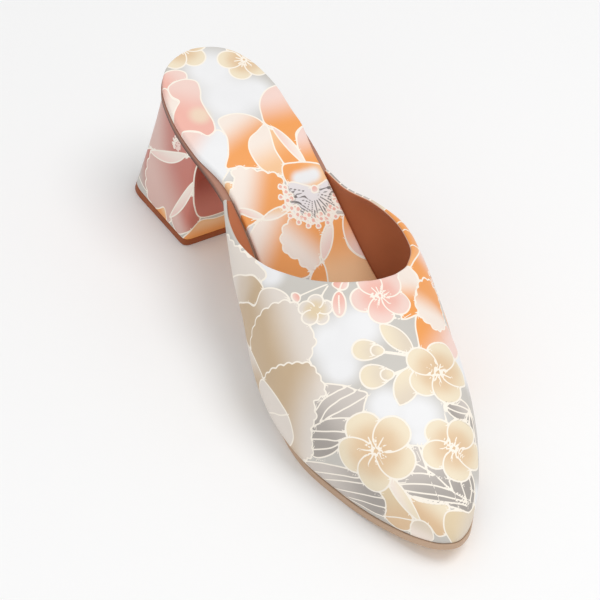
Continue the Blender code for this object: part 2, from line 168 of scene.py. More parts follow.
@dataclass
class Last:
    """The form that the shoe is built on: sole outline, side view, upper and heel sections.

    The origin's place in the row frame is read from the outsole's solid.
    """

    length: float = 248.0
    ball_width: float = 76.0
    instep: float = 52.0
    heel_rise: float = 63.0
    seat_slope: float = 0.169
    toe_spring: float = 8.7
    tip_reach: float = -0.153
    seat_end: float = 0.20
    tread_start: float = 0.585
    spring_start: float = 0.80
    outsole_thickness: float = 3.0
    insole_thickness: float = 3.0
    wall: float = 1.8
    lift_thickness: float = 4.0
    gap: float = 0.3
    feather_inset: float = 0.7
    seat_inset: float = 0.5
    insole_narrows: tuple[float, float] = (0.21, 0.285)
    breast_top: float = 0.212
    base_back: float = -0.010
    base_front: float = 0.186
    base_back_half: float = 0.398
    base_front_half: float = 0.341
    base_back_radius: float = 11.0
    breast_radius: float = 3.5
    heel_inset: float = 0.6
    flare_power: float = 1.15
    samples: int = 400
    knot_power: float = 0.6
    crowding: float = 0.65
    edge_step: float = 2.0
    fan_runs: int = 800
    fan_rows: int = 40
    corner_points: int = 9
    side_points: int = 80
    origin: np.ndarray = field(init=False)

    def __post_init__(self) -> None:
        """Draws the outline and finds the last's origin in the row frame."""
        self.medial, self.lateral = self._outline()
        self.edge = np.vstack([self.medial, self.lateral[::-1][1:]])
        self.edge_run = path_length(self.edge)
        self.tip_run = self.edge_run[len(self.medial) - 1]
        low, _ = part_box("outsole")
        self.origin = np.array([low.x / MM, low.y / MM - self.medial[:, 1].min(), 0.0])

    def _outline(self) -> tuple[np.ndarray, np.ndarray]:
        """The sole's outline from above.

        Returns:
            Medial and lateral edge, each from heel to toe.
        """
        size, width = self.length, self.ball_width
        medial = [(row.station * size, -row.medial * width) for row in OUTLINE]
        lateral = [(row.station * size, row.lateral * width) for row in OUTLINE]
        heel, tip = (0.0, 0.0), (size, self.tip_reach * width)
        ends = [lateral[1], lateral[0], heel], [heel, medial[0], medial[1]]
        loop = np.array([*ends[0], *medial, tip, *lateral[::-1], *ends[1]])
        chord = np.linalg.norm(np.diff(loop, axis=0), axis=1)
        knots = np.concatenate([[0.0], np.cumsum(chord**self.knot_power)])
        heel_at, tip_at, heel_again = 2, 3 + len(OUTLINE), len(loop) - 3
        to_toe = np.linspace(knots[heel_at], knots[tip_at], self.samples)
        to_heel = np.linspace(knots[tip_at], knots[heel_again], self.samples)
        return smooth_through(knots, loop, to_toe), smooth_through(knots, loop, to_heel)[::-1]

    def rise(self, x: np.ndarray) -> np.ndarray:
        """Height of the sole's underside: sloping seat, arch, flat tread and toe spring.

        Args:
            x: Distances from the back of the heel seat.

        Returns:
            One height for each distance.
        """
        seat, tread, spring = (s * self.length for s in (self.seat_end, self.tread_start, self.spring_start))
        arch = tread - seat
        q = np.clip((x - seat) / arch, 0, 1)
        seat_height = self.heel_rise - self.seat_slope * np.minimum(x, seat)
        curve = seat_height * (2 * q**3 - 3 * q**2 + 1) - (q**3 - 2 * q**2 + q) * arch * self.seat_slope
        toe = np.clip((x - spring) / (self.length - spring), 0, None)
        return curve + self.toe_spring * toe**2

    def edge_at(self, run: np.ndarray) -> tuple[np.ndarray, np.ndarray]:
        """Points of the outline with their outward directions.

        Args:
            run: Distances along its edge, from the heel by the medial side.

        Returns:
            Points and directions, one row for each distance.
        """
        ahead, behind = (along_path(self.edge, run + step) for step in (self.edge_step, -self.edge_step))
        along = ahead - behind
        along /= np.linalg.norm(along, axis=1)[:, None]
        return along_path(self.edge, run), np.column_stack([along[:, 1], -along[:, 0]])

    def feather_run(self, row: FanRow) -> float:
        """Finds where a section of the upper starts.

        Args:
            row: The section.

        Returns:
            Distance along the outline's edge.
        """
        x, tip = row.feather * self.length, len(self.medial) - 1
        if row.side == MEDIAL:
            return float(np.interp(x, self.medial[:, 0], self.edge_run[: tip + 1]))
        if row.side == LATERAL:
            return float(np.interp(-x, -self.edge[tip:, 0], self.edge_run[tip:]))
        return float(self.tip_run)

    def upper_run(self, steps: int) -> np.ndarray:
        """Parts the upper into strips that are even where they are widest.

        Args:
            steps: Number of strips, from wing's end to wing's end.

        Returns:
            Distances along the outline's edge.
        """
        even = np.linspace(self.feather_run(FAN[0]), self.feather_run(FAN[-1]), self.fan_runs + 1)
        sheet = self.upper_sheet(even, self.fan_rows)
        widest = np.linalg.norm(np.diff(sheet, axis=0), axis=2).max(axis=1)
        reach = np.concatenate([[0.0], np.cumsum(widest)])
        return np.interp(np.linspace(0, reach[-1], steps + 1), reach, even)

    def upper_sheet(self, run: np.ndarray, rows: int) -> np.ndarray:
        """The upper's outer face.

        Args:
            run: Distances along the outline's edge at which its sections start.
            rows: Even cells from the sole's edge to the topline.

        Returns:
            Grid of points, sections x (rows + 1) x 3.
        """
        knots = np.array([self.feather_run(row) for row in FAN])
        size, width = self.length, self.ball_width
        tops = np.array([(r.station * size, r.reach * width, r.over * self.instep) for r in FAN])
        walls = np.array([(r.lean, r.rise, r.swell, r.fall) for r in FAN]) * self.instep
        top = smooth_through(knots, tops, run)
        top[:, 2] += self.rise(top[:, 0]) + self.outsole_thickness
        lean, lift, swell, fall = (column[:, None] for column in smooth_through(knots, walls, run).T)
        edge, outward = self.edge_at(run)
        foot = edge - outward * self.feather_inset
        feather = np.column_stack([foot, self.rise(foot[:, 0]) + self.outsole_thickness + self.gap])
        out, up = np.column_stack([outward, np.zeros(len(run))]), np.array([0.0, 0.0, 1.0])
        points = feather, feather + out * lean + up * lift, top + out * swell - up * fall, top
        v = np.linspace(0, 1, 3 * rows + 1)[None, :, None]
        weights = (1 - v) ** 3, 3 * v * (1 - v) ** 2, 3 * v**2 * (1 - v), v**3
        fine = sum(w * p[:, None, :] for w, p in zip(weights, points))
        return np.array([along_path(s, np.linspace(0, path_length(s)[-1], rows + 1)) for s in fine])

    def insole_inset(self, x: np.ndarray) -> np.ndarray:
        """How far the insole lies inside the sole's edge.

        Args:
            x: Distances from the back of the heel seat.

        Returns:
            One inset for each distance.
        """
        start, end = (share * self.length for share in self.insole_narrows)
        clear_of_wall = self.feather_inset + self.wall + 2 * self.gap
        return self.seat_inset + (clear_of_wall - self.seat_inset) * ease((x - start) / (end - start))

    def edge_pairs(self, rows: int, inset: float | None) -> tuple[np.ndarray, np.ndarray]:
        """Matching points of the medial and the lateral edge, crowded towards the round ends.

        Args:
            rows: Cells from heel to toe.
            inset: Distance inside the sole's edge, or None for the insole's own.

        Returns:
            Medial and lateral points; the first and the last pair are each one shared point.
        """
        def inside(x: np.ndarray) -> np.ndarray:
            """The inset at distances from the heel."""
            return self.insole_inset(x) if inset is None else np.full_like(x, inset)

        share = np.linspace(0, 1, rows + 1)
        share = (1 - self.crowding) * share + self.crowding * (0.5 - 0.5 * np.cos(np.pi * share))
        sides = []
        for run in (share * self.tip_run, self.edge_run[-1] - share * (self.edge_run[-1] - self.tip_run)):
            edge, outward = self.edge_at(run)
            sides.append(edge - outward * inside(edge[:, 0])[:, None])
        tip = (self.length, self.tip_reach * self.ball_width)
        for end, toward, corner in ((0, 1.0, (0.0, 0.0)), (-1, -1.0, tip)):
            point = np.array(corner)
            point[0] += toward * inside(point[:1])[0]
            sides[0][end] = sides[1][end] = point
        return sides[0], sides[1]

    def _corner(self, before: np.ndarray, corner: np.ndarray, after: np.ndarray) -> np.ndarray:
        """Points that round a corner between two points on its sides."""
        t = np.linspace(0, 1, self.corner_points)[:, None]
        return (1 - t) ** 2 * before + 2 * t * (1 - t) * corner + t**2 * after

    def heel_section(self, height: float, steps: int) -> np.ndarray:
        """The heel's closed outline at a share of its height, from the floor (0) to the seat (1).

        Args:
            height: Share of the heel's height.
            steps: Points round the outline, from its back round the medial side.

        Returns:
            Closed run of points, its first point not repeated.
        """
        flare = (1 - height) ** self.flare_power
        top, count = self.breast_top * self.length, self.side_points
        back, front = self.base_back * self.length, self.base_front * self.length
        sides = []
        for edge, sign in ((self.medial, -1.0), (self.lateral, 1.0)):
            x = top * (0.5 + 0.5 * np.cos(np.linspace(0, np.pi, count)))
            y = np.interp(x, edge[:, 0], edge[:, 1])
            inset = np.where(y == 0, 0.0, sign * self.heel_inset)
            seat = np.column_stack([self.heel_inset + x * (1 - self.heel_inset / top), y - inset])
            breast = np.array([front, sign * self.base_front_half * self.ball_width])
            corner = np.array([back, sign * self.base_back_half * self.ball_width])
            along = (breast - corner) / np.linalg.norm(breast - corner)
            turn = self._corner(corner + along * self.base_back_radius, corner,
                                corner - np.array([0.0, sign * self.base_back_radius]))
            base = np.vstack([breast, turn, [back, 0.0]])
            even = [along_path(line, np.linspace(0, path_length(line)[-1], count)) for line in (seat, base)]
            sides.append(even[0] * (1 - flare) + even[1] * flare)
        start = self.breast_radius
        halves = [along_path(side, np.linspace(start, path_length(side)[-1], count)) for side in sides]
        across = (sides[1][0] - sides[0][0]) / np.linalg.norm(sides[1][0] - sides[0][0])
        near = sides[0][0] + across * self.breast_radius, sides[1][0] - across * self.breast_radius
        loop = np.vstack([halves[0][::-1], self._corner(halves[0][0], sides[0][0], near[0])[1:],
                          self._corner(near[1], sides[1][0], halves[1][0]), halves[1][1:]])
        return along_path(loop, np.linspace(0, path_length(loop)[-1], steps + 1)[:-1])


class Tint(Enum):
    """Colours of the print and of the plain materials, as red, green and blue from 0 to 255."""

    GROUND = (203, 199, 192)
    CLOUD = (239, 239, 240)
    LINE = (252, 244, 231)
    TAN = (203, 178, 146)
    SAND = (226, 212, 192)
    CREAM = (241, 227, 200)
    PEACH = (226, 194, 156)
    BLUSH = (244, 214, 204)
    PINK = (242, 184, 170)
    ROSE = (198, 118, 104)
    DUSK = (222, 186, 176)
    WINE = (150, 62, 44)
    ORANGE = (243, 162, 88)
    APRICOT = (246, 198, 150)
    PETAL_WHITE = (247, 234, 223)
    SHELL = (229, 220, 211)
    LEAF = (168, 161, 155)
    LEAF_PALE = (208, 200, 193)
    FERN = (228, 208, 174)
    STAMEN = (122, 114, 112)
    HEART = (233, 227, 228)
    LINING = (198, 116, 72)
    LINING_DEEP = (178, 100, 60)
    # painted highlight along the folded top edge
    RIM_HIGHLIGHT = (226, 192, 166)
    SOLE_EDGE = (196, 166, 140)
    # painted shade for the sole edge at the heel seat, darkest at its foot
    SEAT_FOOT = (72, 42, 32)
    SEAT_TOP = (172, 122, 102)
    SOLE_FACE = (238, 204, 164)
    # painted shade for the grooves between the ribs
    SOLE_GROOVE = (204, 158, 112)
    LIFT = (180, 96, 46)
    LIFT_DARK = (128, 62, 28)
    GOLD = (122, 78, 34)
    FLOOR = (250, 250, 250)

    @property
    def linear(self) -> np.ndarray:
        """The colour in linear light."""
        c = np.array(self.value) / 255.0
        return np.where(c <= 0.04045, c / 12.92, ((c + 0.055) / 1.055) ** 2.4)

    @property
    def rgba(self) -> tuple[float, float, float, float]:
        """The colour as a shader socket takes it."""
        return (*(float(c) for c in self.linear), 1.0)


def blend(start: np.ndarray, end: np.ndarray, share: np.ndarray) -> np.ndarray:
    """Colours between two: the first where the share is 0, the second where it is 1."""
    return start * (1 - share) + end * share


def off_segment(at: np.ndarray, start: np.ndarray, end: np.ndarray) -> np.ndarray:
    """Measures how far points lie from a straight piece of line.

    Args:
        at: The points.
        start: Where the piece starts.
        end: Where it ends.

    Returns:
        One distance for each point.
    """
    way = end - start
    share = np.clip(((at - start) @ way) / max(way @ way, TINY), 0, 1)
    return np.linalg.norm(at - start - share[:, None] * way, axis=1)


@dataclass
class Canvas:
    """Paint on a piece laid flat, point by point.

    Each point has a fill, an ink, its clearance from the nearest drawn line and, in half line widths,
    its place to one side or the other of that line.
    """

    at: np.ndarray
    ground: Tint = Tint.GROUND
    far: float = 9.0
    margin: float = 3.0

    def __post_init__(self) -> None:
        """Fills the canvas with its ground."""
        self.fill = np.tile(self.ground.linear, (len(self.at), 1))
        self.ink = np.tile(Tint.LINE.linear, (len(self.at), 1))
        self.clearance = np.full(len(self.at), self.far)
        self.line = np.full(len(self.at), self.far)
        self.owner = np.zeros(len(self.at), dtype=int)
        self.shapes = 0

    def near(self, x: float, y: float, reach: float) -> np.ndarray:
        """Numbers of the points within reach of a place."""
        close = (np.abs(self.at[:, 0] - x) < reach) & (np.abs(self.at[:, 1] - y) < reach)
        return np.flatnonzero(close)

    def draw(self, who: np.ndarray, side: np.ndarray, half: float, ink: Tint, over: np.ndarray) -> None:
        """Draws a line where it is nearer than those drawn before.

        Args:
            who: Numbers of the points near the line.
            side: Their distances from its middle, above zero on one side and below on the other.
            half: Half the line's width.
            ink: Colour of the line.
            over: Whether the line counts at a point however far it is.
        """
        clear = np.abs(side) - half
        drawn = over | (clear < self.clearance[who])
        self.ink[who[drawn]] = ink.linear
        self.clearance[who[drawn]] = clear[drawn]
        self.owner[who[drawn]] = self.shapes
        self.line[who[drawn]] = np.clip(side[drawn] / half, -self.far, self.far)

    def cover(self, who: np.ndarray, away: np.ndarray, paint: np.ndarray, half: float) -> None:
        """Lays a filled shape with a drawn edge over what is there.

        Args:
            who: Numbers of the points near the shape.
            away: Their distances from its edge, below zero inside.
            paint: Their fill colours.
            half: Half the width of the edge line.
        """
        inside = away < 0
        self.shapes += 1
        self.fill[who[inside]] = paint[inside]
        self.draw(who, away, half, Tint.LINE, inside)

    def stroke(self, points: np.ndarray, half: float, ink: Tint, parts: bool = False) -> None:
        """Draws a line through points.

        Args:
            points: Run of points.
            half: Half the line's width.
            ink: Colour of the line.
            parts: Whether it parts the shape painted last, whose two sides are then told apart.
        """
        middle, reach = points.mean(axis=0), np.ptp(points, axis=0).max() + self.margin
        who = np.flatnonzero(self.owner == self.shapes) if parts else self.near(middle[0], middle[1], reach)
        at, away, hand = self.at[who], np.full(len(who), np.inf), np.ones(len(who))
        for a, b in zip(points, points[1:]):
            way, off, now = b - a, at - a, off_segment(at, a, b)
            right = way[0] * off[:, 1] < way[1] * off[:, 0]
            hand = np.where(now < away, np.where(right, -1.0, 1.0), hand)
            away = np.minimum(away, now)
        if parts:
            self.line[who] *= hand
        side = np.where(self.line[who] < 0, -away, away)
        self.draw(who, side, half, ink, np.zeros(len(who), dtype=bool))


EDGE_HALF = 0.40        # half the width of a drawn edge
DOT_HALF = 0.36         # the same round a dot


class Motif:
    """Something printed: it paints itself on a canvas."""

    def paint(self, canvas: Canvas) -> None:
        """Paints the motif."""
        raise NotImplementedError


@dataclass(frozen=True)
class Cloud(Motif):
    """A soft pale patch of the ground."""

    x: float
    y: float
    radius: float
    tint: Tint = Tint.CLOUD
    strength: float = 1.0
    reach: float = 1.35

    def paint(self, canvas: Canvas) -> None:
        """Blends the ground towards the patch's colour.

        Args:
            canvas: The piece's canvas.
        """
        who = canvas.near(self.x, self.y, self.radius * self.reach)
        away = np.hypot(canvas.at[who, 0] - self.x, canvas.at[who, 1] - self.y) / self.radius
        share = (self.strength * ease(self.reach - away))[:, None]
        canvas.fill[who] = blend(canvas.fill[who], self.tint.linear, share)


@dataclass(frozen=True)
class Petal(Motif):
    """A petal: an egg with an edge that may be scalloped, shaded from its base to its tip."""

    x: float
    y: float
    length: float
    width: float
    turn: float
    base: Tint
    tip: Tint
    scallops: int = 0
    depth: float = 0.07
    egg: float = 0.18
    half: float = EDGE_HALF
    room: float = 1.25
    margin: float = 2.0

    def paint(self, canvas: Canvas) -> None:
        """Paints the petal over what lies under it.

        Args:
            canvas: The piece's canvas.
        """
        who = canvas.near(self.x, self.y, max(self.length, self.width) * self.room + self.margin)
        angle = math.radians(self.turn)
        d = canvas.at[who] - (self.x, self.y)
        along = (d[:, 0] * math.cos(angle) + d[:, 1] * math.sin(angle)) / self.length
        across = (d[:, 1] * math.cos(angle) - d[:, 0] * math.sin(angle)) / self.width
        across = across / (1 + self.egg * np.clip(along, -1, 1))
        reach = np.maximum(np.hypot(along, across), TINY)
        bearing = np.arctan2(across, along)
        edge = 1.0
        if self.scallops:
            wave = np.abs(np.cos(0.5 * self.scallops * bearing)) - 0.6
            edge = 1.0 + self.depth * wave * ease(0.5 + 0.8 * np.cos(bearing))
        grade = np.hypot(along / self.length, across / self.width) / reach
        away = (reach - edge) / np.maximum(grade, TINY)
        shade = ease(0.5 + 0.62 * along + 0.25 * (reach - 0.6))[:, None]
        paint = blend(self.base.linear, self.tip.linear, shade)
        canvas.cover(who, away, paint, self.half)


@dataclass(frozen=True)
class Patch(Motif):
    """A free shape through a few points, shaded from one place to another, its edge plain or scalloped."""

    points: tuple[tuple[float, float], ...]
    start: tuple[float, float]
    end: tuple[float, float]
    base: Tint
    tip: Tint
    scallop: float = 0.0
    scallop_rise: float = 0.22
    fineness: int = 16

    def outline(self) -> np.ndarray:
        """Rounds the shape's edge.

        Returns:
            Closed run of points, its first point repeated.
        """
        rows = np.array([*self.points[-2:], *self.points, *self.points[:3]])
        knots = path_length(rows)
        fine = smooth_through(knots, rows, np.linspace(knots[2], knots[-3], self.fineness * len(self.points)))
        fine[-1] = fine[0]
        if not self.scallop:
            return fine
        run = path_length(fine)
        along = np.gradient(fine, axis=0)
        out = np.column_stack([along[:, 1], -along[:, 0]]) / np.linalg.norm(along, axis=1)[:, None]
        area = np.sum(fine[:-1, 0] * fine[1:, 1] - fine[1:, 0] * fine[:-1, 1])
        bumps = max(round(run[-1] / self.scallop), 3)
        swell = np.abs(np.sin(np.pi * bumps * run / run[-1])) - 0.5
        edge = fine + np.sign(area) * out * (self.scallop_rise * self.scallop * swell)[:, None]
        edge[-1] = edge[0]
        return edge

    def paint(self, canvas: Canvas) -> None:
        """Paints the shape over what lies under it.

        Args:
            canvas: The piece's canvas.
        """
        edge = self.outline()
        middle, reach = edge.mean(axis=0), 0.75 * np.ptp(edge, axis=0).max() + canvas.margin
        who = canvas.near(middle[0], middle[1], reach)
        at = canvas.at[who]
        away, inside = np.full(len(who), canvas.far), np.zeros(len(who), dtype=bool)
        for a, b in zip(edge, edge[1:]):
            d = b - a
            away = np.minimum(away, off_segment(at, a, b))
            if a[1] != b[1]:
                crossed = (a[1] > at[:, 1]) != (b[1] > at[:, 1])
                inside ^= crossed & (at[:, 0] < a[0] + (at[:, 1] - a[1]) * d[0] / d[1])
        way = np.array(self.end) - self.start
        shade = ease(((at - self.start) @ way) / (way @ way))[:, None]
        paint = blend(self.base.linear, self.tip.linear, shade)
        canvas.cover(who, np.where(inside, -away, away), paint, EDGE_HALF)


@dataclass(frozen=True)
class Stamens(Motif):
    """Fine threads out of a flower's heart, each with a dot."""

    x: float
    y: float
    radius: float
    count: int
    thread: Tint = Tint.LINE
    dot: Tint = Tint.LINE
    half: float = 0.34
    lobe: float = 0.6
    turn: float = 0.0
    sweep: float = 360.0
    start: float = 0.2
    short: float = 0.82

    def paint(self, canvas: Canvas) -> None:
        """Draws the threads, long and short by turns, then the anthers.

        Args:
            canvas: The piece's canvas.
        """
        heart, tops = np.array([self.x, self.y]), []
        for k in range(self.count):
            angle = math.radians(self.turn + self.sweep * k / self.count)
            way = np.array([math.cos(angle), math.sin(angle)])
            out = self.radius * (1.0, self.short)[k % 2]
            if self.half:
                ends = np.array([heart + way * self.start * self.radius, heart + way * out])
                canvas.stroke(ends, self.half, self.thread)
            tops.append(heart + way * out)
        for top in tops if self.lobe else ():
            Petal(*top, self.lobe, self.lobe, 0.0, self.dot, self.dot, half=DOT_HALF).paint(canvas)


@dataclass(frozen=True)
class Blossom(Motif):
    """A five-petalled plum blossom with a heart of stamens."""

    x: float
    y: float
    radius: float
    turn: float
    base: Tint = Tint.PEACH
    tip: Tint = Tint.CREAM
    threads: int = 12
    petals: int = 5
    set_out: float = 0.56
    long: float = 0.50
    wide: float = 0.45
    egg: float = 0.12
    heart: float = 0.24
    thread: float = 0.4

    def paint(self, canvas: Canvas) -> None:
        """Paints the petals one over the other, then the stamens.

        Args:
            canvas: The piece's canvas.
        """
        for k in range(self.petals):
            turn = self.turn + 360.0 * k / self.petals
            angle, out = math.radians(turn), self.set_out * self.radius
            Petal(self.x + out * math.cos(angle), self.y + out * math.sin(angle), self.long * self.radius,
                  self.wide * self.radius, turn, self.base, self.tip, egg=self.egg).paint(canvas)
        inner = canvas.near(self.x, self.y, self.heart * self.radius)
        away = np.hypot(canvas.at[inner, 0] - self.x, canvas.at[inner, 1] - self.y)
        inner = inner[away < self.heart * self.radius]
        canvas.fill[inner] = self.base.linear
        canvas.clearance[inner] = canvas.far
        canvas.line[inner] = np.sign(canvas.line[inner]) * canvas.far
        if self.threads:
            Stamens(self.x, self.y, self.thread * self.radius, self.threads, turn=self.turn,
                    lobe=0.0).paint(canvas)


@dataclass(frozen=True)
class Leaf(Motif):
    """A pointed leaf from stalk to tip, with veins along it."""

    x: float
    y: float
    to_x: float
    to_y: float
    half_width: float
    base: Tint = Tint.LEAF
    tip: Tint = Tint.LEAF_PALE
    veins: int = 1
    bend: float = 0.0
    fullness: float = 0.8
    vein_points: int = 15

    def paint(self, canvas: Canvas) -> None:
        """Paints the leaf, then its veins.

        Args:
            canvas: The piece's canvas.
        """
        a, b = np.array([self.x, self.y]), np.array([self.to_x, self.to_y])
        span = np.linalg.norm(b - a)
        way = (b - a) / span
        side = np.array([-way[1], way[0]])
        middle = (a + b) / 2
        who = canvas.near(middle[0], middle[1], 0.6 * span + self.half_width + abs(self.bend))
        d = canvas.at[who] - a
        along = np.clip(d @ way / span, -0.2, 1.2)
        across = d @ side - self.bend * 4 * along * (1 - along)
        room = np.maximum(4 * along * (1 - along), 0.0) ** self.fullness * self.half_width
        slope = np.clip(3.2 * self.half_width / span * np.abs(1 - 2 * along), 0, 2.5)
        away = (np.abs(across) - room) / np.hypot(1.0, slope)
        beyond = np.maximum(-along, along - 1) * span
        away = np.where(beyond > 0, np.hypot(beyond, np.abs(across)), away)
        shade = ease(along + 0.35 * across / self.half_width)[:, None]
        paint = blend(self.base.linear, self.tip.linear, shade)
        canvas.cover(who, away, paint, EDGE_HALF)
        t = np.linspace(0.03, 0.97, self.vein_points)
        bow = 4 * t * (1 - t)
        for k in range(self.veins):
            share = (2 * (k + 1) / (self.veins + 1) - 1) if self.veins > 1 else 0.0
            off = share * bow**self.fullness * self.half_width + self.bend * bow
            canvas.stroke(a + t[:, None] * span * way + off[:, None] * side, EDGE_HALF, Tint.LINE, True)


@dataclass(frozen=True)
class Stem(Motif):
    """A drawn stalk through a few points."""

    points: tuple[tuple[float, float], ...]
    half: float = 0.42
    parts: bool = False
    fineness: int = 18

    def paint(self, canvas: Canvas) -> None:
        """Draws the stalk as a smooth line.

        Args:
            canvas: The piece's canvas.
        """
        rows = np.array(self.points)
        knots = path_length(rows)
        line = smooth_through(knots, rows, np.linspace(0, knots[-1], self.fineness))
        canvas.stroke(line, self.half, Tint.LINE, self.parts)


@dataclass(frozen=True)
class Vein(Stem):
    """A vein that parts the leaf painted last."""

    half: float = 0.38
    parts: bool = True


def printed(places: np.ndarray, motifs: tuple[Motif, ...]) -> Canvas:
    """Paints motifs on a piece laid flat.

    Args:
        places: Flat place of each of the piece's points.
        motifs: What is painted, from the lowest up.

    Returns:
        The painted canvas.
    """
    canvas = Canvas(places)
    for motif in motifs:
        motif.paint(canvas)
    return canvas


